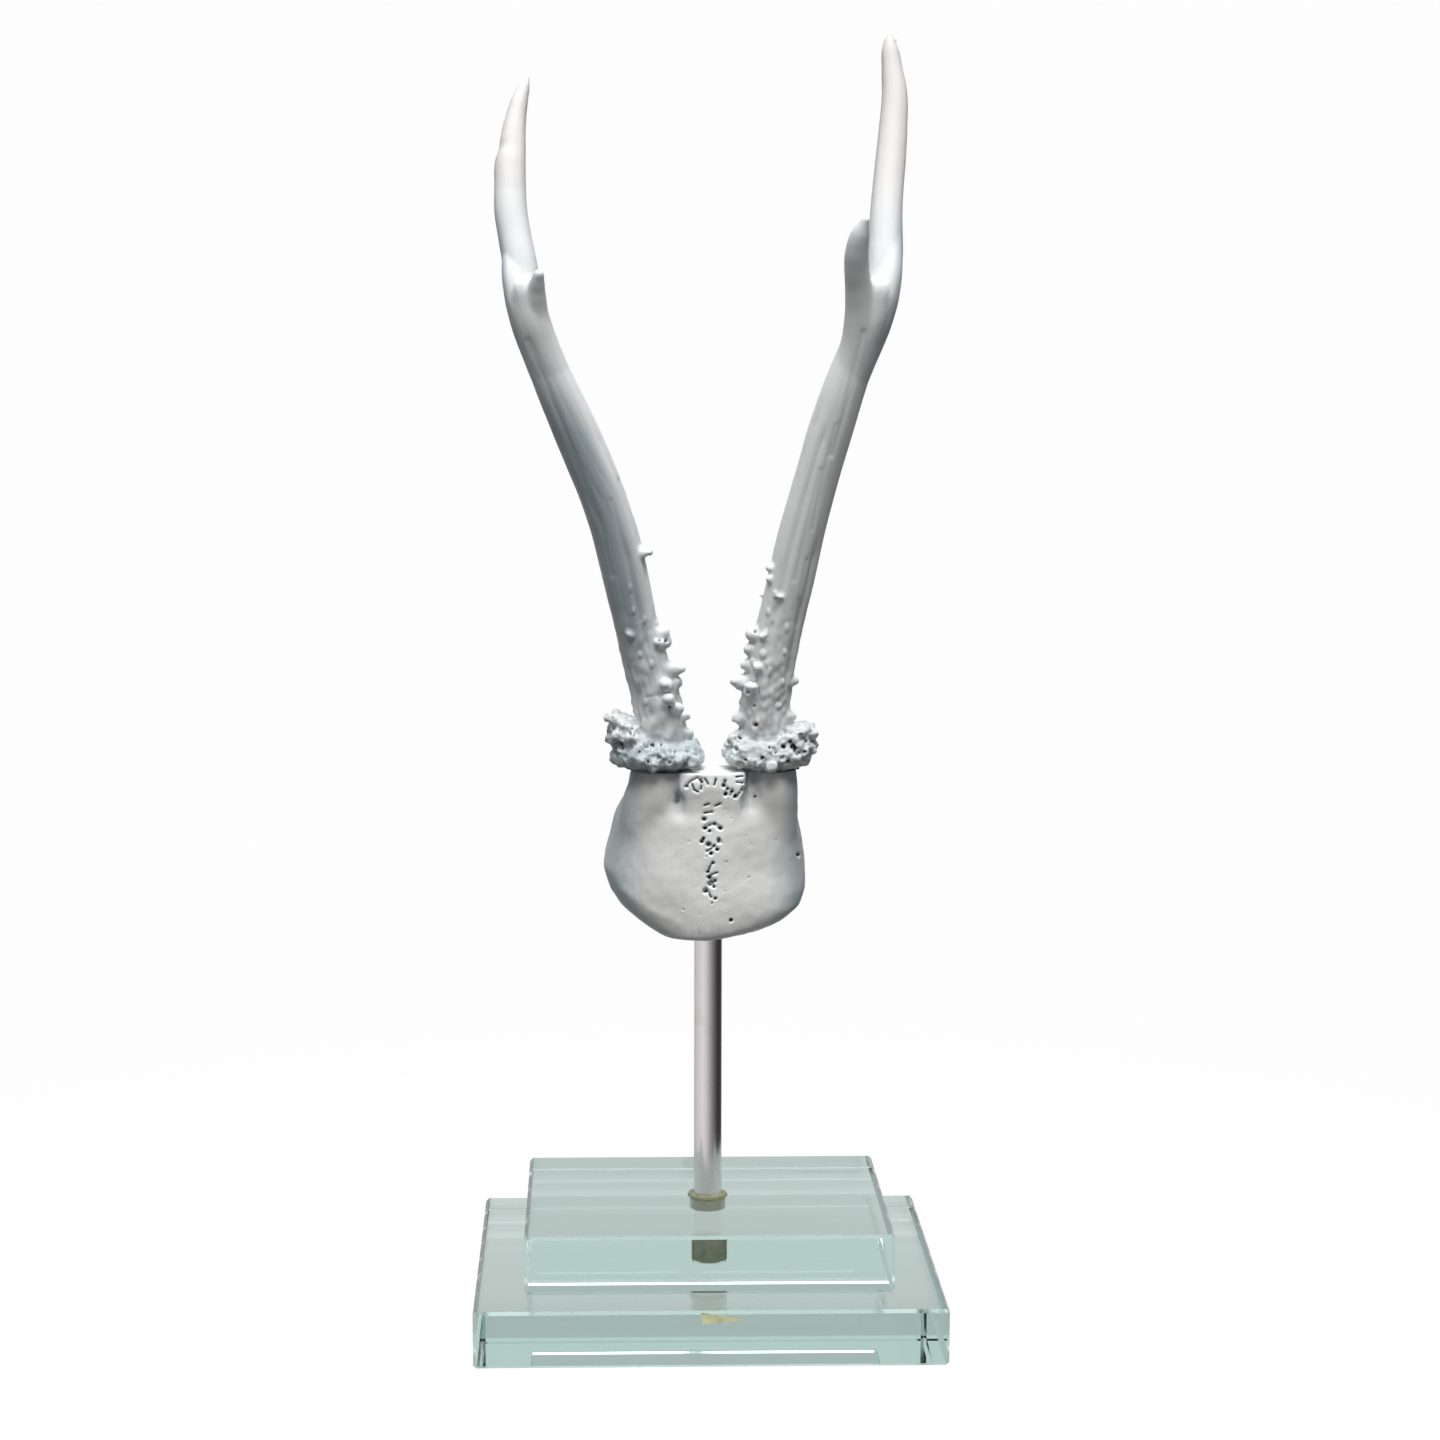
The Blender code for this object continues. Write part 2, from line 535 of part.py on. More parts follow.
def make_skull_plate(parts, cutters, material):
    """The frontal bone with two pedicles and the front of the brain case, hollow and sawn off behind."""
    bm = bmesh.new()
    add_frontal_bone(bm)
    for stations in PEDICLES:
        add_tube(bm, stations)
    add_ball(bm, FOREHEAD_PAD_CENTRE, FOREHEAD_PAD_RADII, 3)
    add_ball(bm, VAULT_CENTRE, VAULT_RADII, 4)
    bmesh.ops.recalc_face_normals(bm, faces=bm.faces)
    mesh = bpy.data.meshes.new("skull_plate")
    bm.to_mesh(mesh)
    bm.free()
    skull = add_object("skull_plate", mesh, parts, material)
    fuse(skull, SKULL_VOXEL, 10)

    for side, x in (("left", -ORBIT_CENTRE[0]), ("right", ORBIT_CENTRE[0])):
        add_boolean(skull, ball_cutter(f"{side}_orbit", (x, *ORBIT_CENTRE[1:]), ORBIT_RADII, cutters))
    add_boolean(skull, ball_cutter("brain_hollow", BRAIN_CENTRE, BRAIN_RADII, cutters))
    add_boolean(skull, saw_cutter(cutters))
    middle = BRAIN_CENTRE[2]
    add_boolean(skull, round_cutter("rod_channel", ROD_CHANNEL_RADIUS, 0.110, middle, cutters))
    socket = round_cutter("rod_socket", ROD_SOCKET_RADIUS, middle - 0.01, ROD_SOCKET_TOP, cutters)
    add_boolean(skull, socket)
    above = box_cutter("pedicle_tops", (-0.05, -0.05, PEDICLE_TOP), (0.05, 0.05, 0.200), cutters)
    add_boolean(skull, above)
    pits = [((x, SUTURE_PIT_Y, z), radius) for x, z, radius in SUTURE_PITS]
    add_boolean(skull, pit_cutter("suture_pits", pits, cutters))
    apply_modifiers(skull)
    thin(skull, SKULL_TRIANGLES)
    raise_to_stand(skull)
    return skull


def make_slab(name, size, bottom, parts, material):
    width, depth, thickness = size
    bpy.ops.mesh.primitive_cube_add(size=1.0, location=(0, 0, bottom + thickness / 2))
    slab = bpy.context.object
    slab.name = slab.data.name = name
    for vertex in slab.data.vertices:
        vertex.co.x *= width
        vertex.co.y *= depth
        vertex.co.z *= thickness
    for other in list(slab.users_collection):
        other.objects.unlink(slab)
    parts.objects.link(slab)
    slab.data.materials.append(material)
    arris = slab.modifiers.new("arris", "BEVEL")
    arris.width = ARRIS
    arris.segments = 1
    return slab


def turned(name, profile, steps, parts, material):
    """A turned piece: a profile of (radius, height) pairs, turned about the rod's axis."""
    mesh = bpy.data.meshes.new(name)
    bm = bmesh.new()
    verts = [bm.verts.new((radius, 0, height)) for radius, height in profile]
    for a, b in zip(verts, verts[1:]):
        bm.edges.new((a, b))
    bm.to_mesh(mesh)
    bm.free()
    obj = add_object(name, mesh, parts, material)
    obj.location.x = ROD_X
    screw = obj.modifiers.new("turn", "SCREW")
    screw.axis = "Z"
    screw.steps = screw.render_steps = steps
    screw.use_merge_vertices = True
    screw.merge_threshold = 0.00001
    screw.use_smooth_shade = True
    return obj


def main():
    clear_scene()
    parts = make_collection(OBJECT_NAME)
    cutters = make_collection("cutters")
    bone_paint = make_material("white_painted_bone", (0.72, 0.75, 0.76), 0.42)
    nickel = make_material("polished_nickel", (0.72, 0.68, 0.69), 0.16, metallic=1.0)
    glue = make_material("yellowed_glue", (0.46, 0.45, 0.28), 0.35)
    glass = make_material("green_glass", (0.80, 0.93, 0.89), 0.02, transmission=1.0, ior=1.52)

    lower_top = LOWER_SLAB[2]
    upper_bottom = lower_top + GAP
    upper_top = upper_bottom + UPPER_SLAB[2]
    make_slab("lower_glass_slab", LOWER_SLAB, 0.0, parts, glass)
    upper = make_slab("upper_glass_slab", UPPER_SLAB, upper_bottom, parts, glass)
    hole_bottom = upper_top - HOLE_DEPTH
    add_boolean(upper, round_cutter("rod_hole", HOLE_RADIUS, hole_bottom, upper_top + 0.004, cutters))

    glue_bottom = hole_bottom + GAP
    rod_bottom = glue_bottom + GLUE_UNDER_ROD + GAP
    glue_radius = HOLE_RADIUS - GAP
    bead_radius = HOLE_RADIUS + GLUE_BEAD_WIDTH
    inner_radius = ROD_RADIUS + GAP
    bead_bottom = upper_top + GAP
    bead_top = upper_top + GLUE_BEAD_HEIGHT
    turned(
        "rod_glue",
        (
            (inner_radius, bead_top),
            (glue_radius, bead_top - 0.0002),
            (bead_radius, bead_bottom + 0.0003),
            (bead_radius, bead_bottom),
            (glue_radius, bead_bottom),
            (glue_radius, glue_bottom + GLUE_ROUNDING),
            (glue_radius - GLUE_ROUNDING, glue_bottom),
            (0.0, glue_bottom),
            (0.0, glue_bottom + GLUE_UNDER_ROD),
            (inner_radius, glue_bottom + GLUE_UNDER_ROD),
            (inner_radius, bead_top),
        ),
        24, parts, glue,
    )
    turned(
        "rod",
        (
            (0.0, ROD_TOP),
            (ROD_RADIUS - ROD_CHAMFER, ROD_TOP),
            (ROD_RADIUS, ROD_TOP - ROD_CHAMFER),
            (ROD_RADIUS, rod_bottom + ROD_CHAMFER),
            (ROD_RADIUS - ROD_CHAMFER, rod_bottom),
            (0.0, rod_bottom),
        ),
        32, parts, nickel,
    )
    make_skull_plate(parts, cutters, bone_paint)
    make_antler("left_antler", LEFT_ANTLER, parts, cutters, bone_paint)
    make_antler("right_antler", RIGHT_ANTLER, parts, cutters, bone_paint)
    for obj in parts.objects:
        if "slab" not in obj.name:
            obj.data.shade_smooth()
            obj.data.set_sharp_from_angle(angle=SHARP_ANGLE)


main()
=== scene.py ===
# %% [markdown]
# # Roe deer antlers on a glass base
#
# The object is a trophy turned into a desk piece: two antlers on the sawn-off front of the skull,
# painted satin white, standing on a polished rod that is glued into two stacked slabs of clear glass.
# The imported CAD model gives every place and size. This lesson dresses it: each solid is replaced by
# a finer piece that stands exactly where the solid stands.

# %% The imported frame
import math

import bmesh
import bpy
import numpy as np
from mathutils import Matrix, Vector


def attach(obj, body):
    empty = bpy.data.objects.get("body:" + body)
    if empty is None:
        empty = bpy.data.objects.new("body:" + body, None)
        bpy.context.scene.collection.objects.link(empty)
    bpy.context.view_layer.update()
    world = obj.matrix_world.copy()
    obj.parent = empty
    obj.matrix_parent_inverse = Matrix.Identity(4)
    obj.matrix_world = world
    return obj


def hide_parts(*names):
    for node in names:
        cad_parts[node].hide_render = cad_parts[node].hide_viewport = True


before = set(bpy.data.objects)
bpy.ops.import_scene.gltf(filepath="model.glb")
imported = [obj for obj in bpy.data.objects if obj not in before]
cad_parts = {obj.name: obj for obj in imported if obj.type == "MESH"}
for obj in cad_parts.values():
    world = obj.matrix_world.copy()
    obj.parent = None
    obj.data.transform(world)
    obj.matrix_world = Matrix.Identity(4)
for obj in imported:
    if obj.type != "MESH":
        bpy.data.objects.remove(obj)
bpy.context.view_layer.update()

scene = bpy.context.scene

# %% [markdown]
# ## Writing shaders as sums
#
# A finish is mostly arithmetic on noise patterns and masks. Node by node that is long to read, so a
# small class wraps an output socket and turns + - * / into Math nodes. Every other node comes from
# one method that takes the node's type, its settings and what goes into its sockets.


# %% Sockets with arithmetic
class Wire:
    """An output socket whose arithmetic adds Math nodes."""

    def __init__(self, nodes, socket):
        self.nodes = nodes
        self.socket = socket

    def out(self, name):
        return Wire(self.nodes, self.socket.node.outputs[name])

    def maths(self, operation, *values):
        return self.nodes.node("ShaderNodeMath", {"operation": operation}, dict(enumerate(values)))

    def __add__(self, other):
        return self.maths("ADD", self, other)

    def __sub__(self, other):
        return self.maths("SUBTRACT", self, other)

    def __rsub__(self, other):
        return self.maths("SUBTRACT", other, self)

    def __mul__(self, other):
        return self.maths("MULTIPLY", self, other)

    def __truediv__(self, other):
        return self.maths("DIVIDE", self, other)

    def __rtruediv__(self, other):
        return self.maths("DIVIDE", other, self)

    __radd__ = __add__
    __rmul__ = __mul__

    def over(self, low, high):
        """0 below low, 1 above high, and smooth between them."""
        limits = {"Value": self, "From Min": low, "From Max": high}
        return self.nodes.node("ShaderNodeMapRange", {"interpolation_type": "SMOOTHSTEP"}, limits)


class Nodes:
    """Adds nodes to one tree, of a material, a world or Geometry Nodes."""

    def __init__(self, tree):
        self.tree = tree

    def node(self, kind, settings=None, sockets=None, output=0):
        node = self.tree.nodes.new(kind)
        for name, value in (settings or {}).items():
            if name == "stops":
                ramp = node.color_ramp
                while len(ramp.elements) < len(value):
                    ramp.elements.new(1.0)
                for element, (position, shade) in zip(ramp.elements, value):
                    element.position = position
                    element.color = (shade, shade, shade, 1.0)
            else:
                setattr(node, name, value)
        for name, value in (sockets or {}).items():
            if isinstance(value, Wire):
                self.tree.links.new(value.socket, node.inputs[name])
            else:
                node.inputs[name].default_value = value
        return Wire(self, node.outputs[output]) if len(node.outputs) else None

    def mix(self, mask, low, high):
        """The colour low where the mask is 0, and high where it is 1."""
        colours = {0: mask}
        for name, colour in ((6, low), (7, high)):
            colours[name] = colour if isinstance(colour, Wire) else (*colour, 1.0)
        return self.node("ShaderNodeMix", {"data_type": "RGBA"}, colours, 2)

    def noise(self, place, scale, detail=3.0, roughness=0.5):
        sockets = {"Vector": place, "Scale": scale, "Detail": detail, "Roughness": roughness}
        return self.node("ShaderNodeTexNoise", {}, sockets)

    def stretched(self, place, scale):
        """The coordinates, squeezed along each axis."""
        return self.node("ShaderNodeMapping", {}, {"Vector": place, "Scale": scale})

    def bump(self, strength, distance, height):
        sockets = {"Strength": strength, "Distance": distance, "Height": height}
        return self.node("ShaderNodeBump", {}, sockets)

    def axis(self, place, name):
        return self.node("ShaderNodeSeparateXYZ", {}, {0: place}, name)

    def ramp(self, stops, share):
        """A brightness that changes along a line, from pairs of place and brightness."""
        return self.node("ShaderNodeValToRGB", {"stops": stops}, {"Fac": share})

    def attribute(self, name):
        return self.node("ShaderNodeAttribute", {"attribute_name": name}, output="Fac")

    def paint(self, sockets):
        """A Principled shader that is the material's surface."""
        shader = self.node("ShaderNodeBsdfPrincipled", {}, sockets)
        self.node("ShaderNodeOutputMaterial", {}, {"Surface": shader})


def new_material(name):
    """A material without nodes, what adds nodes to it, and the coordinates of the object."""
    material = bpy.data.materials.new(name)
    material.use_nodes = True
    material.node_tree.nodes.clear()
    nodes = Nodes(material.node_tree)
    return material, nodes, nodes.node("ShaderNodeTexCoord", output="Object")


# %% [markdown]
# ## The measures
#
# Nearly every place repeats the CAD source: the beams as stations of an axis point and a radius, the
# skull as sections, the glass as three sizes. Two forms are only here: the saddle and the flank that
# fill the web of bone below each fork, and a fuller forehead with its raised tablet. Long tables are
# written in tenths of a millimetre and turned into metres, the unit of all else. Small marks, such as
# pits and pearls, are given in millimetres as (x, z) in the front view, and land on whatever surface
# the eye meets there.


# %% The measures of the antlers
def metres(rows):
    """A table in tenths of a millimetre, turned into metres."""
    return tuple(tuple(value / 10000 for value in row) for row in rows)


# A station of a tube: x, y, height and radius. A knob: x and height of its tip, its two radii.
LEFT_BEAM = metres((
    (-148, -40, 1790, 88), (-146, -46, 1907, 86), (-166, -60, 2041, 80), (-200, -80, 2174, 74),
    (-233, -102, 2307, 71), (-261, -126, 2439, 74), (-292, -150, 2570, 75), (-332, -176, 2700, 74),
    (-382, -202, 2829, 74), (-437, -228, 2957, 71), (-493, -252, 3083, 65), (-533, -264, 3177, 61),
    (-564, -266, 3271, 58), (-580, -256, 3341, 57), (-595, -226, 3448, 55), (-611, -189, 3532, 53),
    (-623, -152, 3609, 53), (-626, -110, 3688, 51), (-626, -70, 3760, 50), (-620, -50, 3796, 44),
    (-618, -26, 3841, 41), (-609, 10, 3909, 34), (-598, 36, 3961, 28), (-582, 62, 4011, 18),
    (-572, 76, 4039, 8),
))
LEFT_TINE = metres((
    (-493, -250, 3083, 60), (-530, -274, 3192, 55), (-545, -306, 3281, 45), (-542, -338, 3350, 33),
    (-537, -362, 3390, 24), (-532, -376, 3412, 18),
))
LEFT_SADDLE = metres((
    (-493, -250, 3083, 64), (-533, -276, 3190, 61), (-558, -299, 3280, 57), (-571, -310, 3360, 49),
))
LEFT_FLANK = metres((
    (-493, -245, 3083, 60), (-548, -268, 3200, 56), (-580, -284, 3290, 51), (-600, -280, 3360, 45),
    (-616, -252, 3430, 36), (-626, -210, 3500, 25),
))
RIGHT_BEAM = metres((
    (198, -40, 1790, 85), (193, -46, 1906, 82), (191, -60, 2040, 80), (211, -80, 2173, 79),
    (238, -102, 2306, 76), (267, -126, 2438, 76), (294, -150, 2569, 75), (326, -176, 2699, 73),
    (360, -202, 2828, 72), (396, -228, 2956, 71), (436, -252, 3083, 67), (470, -264, 3177, 63),
    (499, -266, 3252, 60), (521, -260, 3311, 58), (546, -242, 3390, 56), (554, -225, 3450, 56),
    (557, -203, 3499, 55), (562, -155, 3601, 52), (570, -115, 3678, 50), (583, -61, 3776, 49),
    (595, -5, 3881, 46), (603, 46, 3981, 42), (599, 82, 4053, 36), (594, 115, 4125, 29),
    (593, 129, 4161, 18), (594, 135, 4177, 9),
))
RIGHT_TINE = metres((
    (436, -250, 3083, 62), (466, -281, 3182, 59), (470, -314, 3281, 51), (462, -346, 3365, 44),
    (453, -374, 3426, 40), (451, -400, 3483, 37), (460, -424, 3539, 29), (474, -440, 3578, 14),
))
RIGHT_SADDLE = metres((
    (436, -250, 3083, 66), (477, -276, 3190, 63), (503, -298, 3280, 59), (516, -310, 3356, 51),
))
RIGHT_FLANK = metres((
    (436, -245, 3083, 62), (492, -268, 3200, 58), (528, -286, 3290, 53), (550, -284, 3360, 47),
    (569, -256, 3440, 38), (580, -212, 3520, 28),
))
LEFT_KNOBS = metres((
    (-170, 2532, 27, 14), (-120, 2264, 34, 22), (-116, 2238, 34, 22), (-66, 2148, 36, 16),
    (-76, 2102, 34, 20), (-124, 2046, 38, 19), (-48, 1990, 30, 14), (-50, 1932, 30, 18),
    (-128, 2100, 36, 18), (-152, 2235, 24, 14), (-250, 2265, 20, 12), (-96, 2020, 30, 18),
))
RIGHT_KNOBS = metres((
    (192, 2480, 22, 14), (194, 2445, 20, 12), (131, 2262, 31, 22), (122, 2213, 30, 19),
    (102, 2160, 30, 16), (68, 2106, 38, 16), (136, 2078, 36, 19), (158, 2158, 28, 14),
    (74, 1982, 33, 19), (78, 1928, 31, 17), (296, 2106, 24, 14), (176, 2258, 20, 11),
    (228, 2390, 18, 10), (288, 1990, 24, 14),
))
BURR_BOTTOM = 0.1815
BURR_RISE = 0.0105
BURR_ROW_STEPS = (0.0, 0.0010, 0.0030)
BURR_LUMPS_PER_ROW = 20
BURR_CORE_BALLS = 36
BURR_RIM_LIFT = 0.0012
LEFT_BURR = {
    "centre": (-0.0168, -0.0045), "reach": 0.0134, "side_reach": 0.0158,
    "outer": -1, "outer_rise": 1.0, "inner_rise": 0.1, "seed": 5,
}
RIGHT_BURR = {
    "centre": (0.0205, -0.0045), "reach": 0.0128, "side_reach": 0.0150,
    "outer": 1, "outer_rise": 0.68, "inner_rise": 0.3, "seed": 9,
}
print("beams", LEFT_BEAM[-1][2], RIGHT_BEAM[-1][2])

# %% The measures of the skull plate and the base
# A section: height, left, right, front, back, and how round its front is. The tablet on the forehead:
# left, right, front and height of its corners.
SKULL_SECTIONS = (
    (0.1262, -0.0135, 0.0060, -0.0174, 0.022, 0.30), (0.1282, -0.0180, 0.0186, -0.0179, 0.025, 0.30),
    (0.1310, -0.0226, 0.0254, -0.0180, 0.028, 0.31), (0.1352, -0.0280, 0.0315, -0.0180, 0.030, 0.38),
    (0.1410, -0.0320, 0.0334, -0.0178, 0.032, 0.47), (0.1480, -0.0340, 0.0332, -0.0172, 0.032, 0.56),
    (0.1560, -0.0318, 0.0322, -0.0166, 0.032, 0.52), (0.1640, -0.0300, 0.0303, -0.0157, 0.030, 0.46),
    (0.1696, -0.0270, 0.0290, -0.0147, 0.022, 0.46), (0.1736, -0.0230, 0.0262, -0.0136, 0.017, 0.52),
    (0.1766, -0.0180, 0.0220, -0.0118, 0.013, 0.58), (0.1784, -0.0130, 0.0170, -0.0086, 0.010, 0.58),
)
SECTION_WAIST_Y = 0.014
BACK_SQUARENESS = 0.5
SECTION_POINTS = 96
PEDICLE_TOP = 0.1812
LEFT_PEDICLE = metres((
    (-178, 50, 1460, 80), (-182, 0, 1570, 106), (-176, -34, 1690, 102), (-163, -44, 1740, 98),
    (-159, -42, 1780, 94), (-159, -35, 1850, 86),
))
RIGHT_PEDICLE = metres((
    (196, 50, 1460, 80), (204, 0, 1570, 100), (209, -34, 1700, 92), (212, -44, 1740, 88),
    (214, -42, 1780, 83), (214, -35, 1850, 78),
))
FOREHEAD_PAD_BACK = 0.004
FOREHEAD_PAD = metres((
    (-88, 119, -132, 1840), (-96, 127, -143, 1815), (-95, 126, -152, 1765), (-68, 98, -146, 1660),
))
VAULT_CENTRE, VAULT_RADII = (0.0010, 0.0080, 0.1575), (0.0240, 0.0240, 0.0221)
BRAIN_CENTRE, BRAIN_RADII = (0.0010, 0.0170, 0.1560), (0.0190, 0.0215, 0.0158)
ORBIT_CENTRE, ORBIT_RADII = (0.0260, 0.0185, 0.1400), (0.0150, 0.0160, 0.0125)
SAW_CUT_TOP, SAW_CUT_BOTTOM = (0.0240, 0.1820), (0.0100, 0.1236)
BONE_ZERO = 0.0015
ROD_X, ROD_RADIUS, ROD_TOP, ROD_CHAMFER = 0.0008, 0.00465, 0.1747, 0.0004
LOWER_SLAB, UPPER_SLAB = (0.151, 0.127, 0.0185), (0.119, 0.094, 0.019)
SLAB_GAP, ARRIS = 0.0003, 0.0010
UPPER_BOTTOM = LOWER_SLAB[2] + SLAB_GAP
UPPER_TOP = UPPER_BOTTOM + UPPER_SLAB[2]
HOLE_RADIUS, HOLE_DEPTH = 0.0058, 0.0175
print("upper glass from", UPPER_BOTTOM, "to", UPPER_TOP)

# %% [markdown]
# ## The viewpoint
#
# Small marks are given as they are seen from the front, so the camera comes first. It stands a metre
# away, a little above the middle of the object and looks slightly down. A point of the surface is
# carried along its line of sight to the upright plane through the middle of the object, and compared
# with the marks there.

# %% The camera and the front view
CAMERA_PLACE = Vector((-0.0344, -1.0373, 0.3447))
DRAWING_EYE = CAMERA_PLACE - Vector((0, 0, BONE_ZERO))
CAMERA_YAW, CAMERA_PITCH = math.radians(1.249), math.radians(-8.038)
LENS, SENSOR, SHIFT = 80.0, 36.0, 0.0347
camera = bpy.data.objects.new("camera", bpy.data.cameras.new("camera"))
camera.data.lens = LENS
camera.data.sensor_width = SENSOR
camera.data.shift_x = SHIFT
camera.location = CAMERA_PLACE
sight = Vector((
    math.sin(CAMERA_YAW) * math.cos(CAMERA_PITCH),
    math.cos(CAMERA_YAW) * math.cos(CAMERA_PITCH),
    math.sin(CAMERA_PITCH),
))
camera.rotation_euler = sight.to_track_quat("-Z", "Y").to_euler()
scene.collection.objects.link(camera)
scene.camera = camera


def front_view(points):
    """Where points are seen on the upright middle plane, as x and z in millimetres."""
    eye = np.array(DRAWING_EYE)
    ray = points - eye
    seen = eye + ray * (-eye[1] / ray[:, 1])[:, None]
    return seen[:, 0] * 1000, seen[:, 2] * 1000


print("camera at", [round(v, 3) for v in CAMERA_PLACE])

# %% [markdown]
# ## Growing organic shapes
#
# Bone and antler have no edges to measure: they are swellings that run into each other. Sculpting
# would do, but it can't be repeated by a script. Here simple closed shapes (tubes, balls, lofts) are
# laid over each other and a voxel remesh melts them into one skin, fine enough to hold detail.


# %% Overlapping shapes and their common skin
TUBE_STEPS = 10


def add_object(name, mesh, material=None):
    obj = bpy.data.objects.new(name, mesh)
    scene.collection.objects.link(obj)
    if material:
        mesh.materials.clear()
        mesh.materials.append(material)
    return obj


def evaluated_mesh(obj):
    """The object's mesh with its modifiers applied."""
    graph = bpy.context.evaluated_depsgraph_get()
    graph.update()
    return bpy.data.meshes.new_from_object(obj.evaluated_get(graph))


def apply_modifiers(obj):
    mesh = evaluated_mesh(obj)
    obj.modifiers.clear()
    obj.data = mesh


def mesh_of(name, bm):
    mesh = bpy.data.meshes.new(name)
    bm.to_mesh(mesh)
    bm.free()
    return mesh


def add_ball(bm, centre, radii, subdivisions=2):
    radii = (radii, radii, radii) if isinstance(radii, float) else radii
    place = Matrix.Translation(centre) @ Matrix.Diagonal((*radii, 1.0))
    bmesh.ops.create_icosphere(bm, subdivisions=subdivisions, radius=1.0, matrix=place)


def add_knob(bm, foot, tip, foot_radius, tip_radius, steps=4):
    """A blunt spike: balls that shrink from its foot to its tip."""
    for step in range(steps + 1):
        part = step / steps
        add_ball(bm, foot.lerp(tip, part), foot_radius + (tip_radius - foot_radius) * part)


def tube_mesh(stations):
    """A closed round tube through (x, y, z, radius) stations."""
    curve = bpy.data.curves.new("tube", "CURVE")
    curve.dimensions = "3D"
    curve.bevel_depth = 1.0
    curve.bevel_resolution = TUBE_STEPS
    curve.use_fill_caps = True
    curve.resolution_u = TUBE_STEPS
    spline = curve.splines.new("BEZIER")
    spline.bezier_points.add(len(stations) - 1)
    spline.radius_interpolation = "CARDINAL"
    for point, (x, y, z, radius) in zip(spline.bezier_points, stations):
        point.co = (x, y, z)
        point.radius = radius
        point.handle_left_type = point.handle_right_type = "AUTO"
    guide = bpy.data.objects.new("tube", curve)
    scene.collection.objects.link(guide)
    mesh = evaluated_mesh(guide)
    bpy.data.objects.remove(guide)
    bpy.data.curves.remove(curve)
    return mesh


def add_tube(bm, stations):
    bm.from_mesh(tube_mesh(stations))
    bmesh.ops.remove_doubles(bm, verts=bm.verts, dist=1e-7)
    x, y, z, radius = stations[-1]
    add_ball(bm, (x, y, z), radius)


def melt(obj, voxel, smoothing):
    """The overlapping shapes of an object become one softened skin."""
    remesh = obj.modifiers.new("melt", "REMESH")
    remesh.mode = "VOXEL"
    remesh.voxel_size = voxel
    soften = obj.modifiers.new("soften", "SMOOTH")
    soften.factor = 0.5
    soften.iterations = smoothing
    apply_modifiers(obj)


# %% [markdown]
# ## Carving a skin
#
# Furrows, pits and pearls are pushes along the surface's own direction. A skin keeps the mesh's
# points as arrays, so that one line of arithmetic moves all of them at once. How deep a point ends
# up below its surroundings is stored with it, because the paint puts painted shade in hollows and a
# painted highlight on raised tops.


# %% A skin to carve
MARK_SLOPE = 0.25
MM = 0.001


def read_array(items, name, width, kind=float):
    values = np.empty(len(items) * width, np.float32 if kind is float else np.int32)
    items.foreach_get(name, values)
    return values.reshape(-1, width).astype(kind)


def waves(places, lengths, count, rng):
    """Smooth random swellings about 1 high, of given wave lengths along the columns of places."""
    total = np.zeros(len(places))
    for _ in range(count):
        aim = rng.normal(size=places.shape[1])
        aim *= rng.uniform(0.7, 1.4) / np.linalg.norm(aim)
        total += np.sin(places @ (2 * math.pi * aim / np.array(lengths)) + rng.uniform(0, 2 * math.pi))
    return total * math.sqrt(2 / count)


def swellings(places, layers, rng):
    """Layers of swellings of the same length all ways: height, wave length and number of waves."""
    return sum(height * waves(places, (length,) * 3, count, rng) for height, length, count in layers)


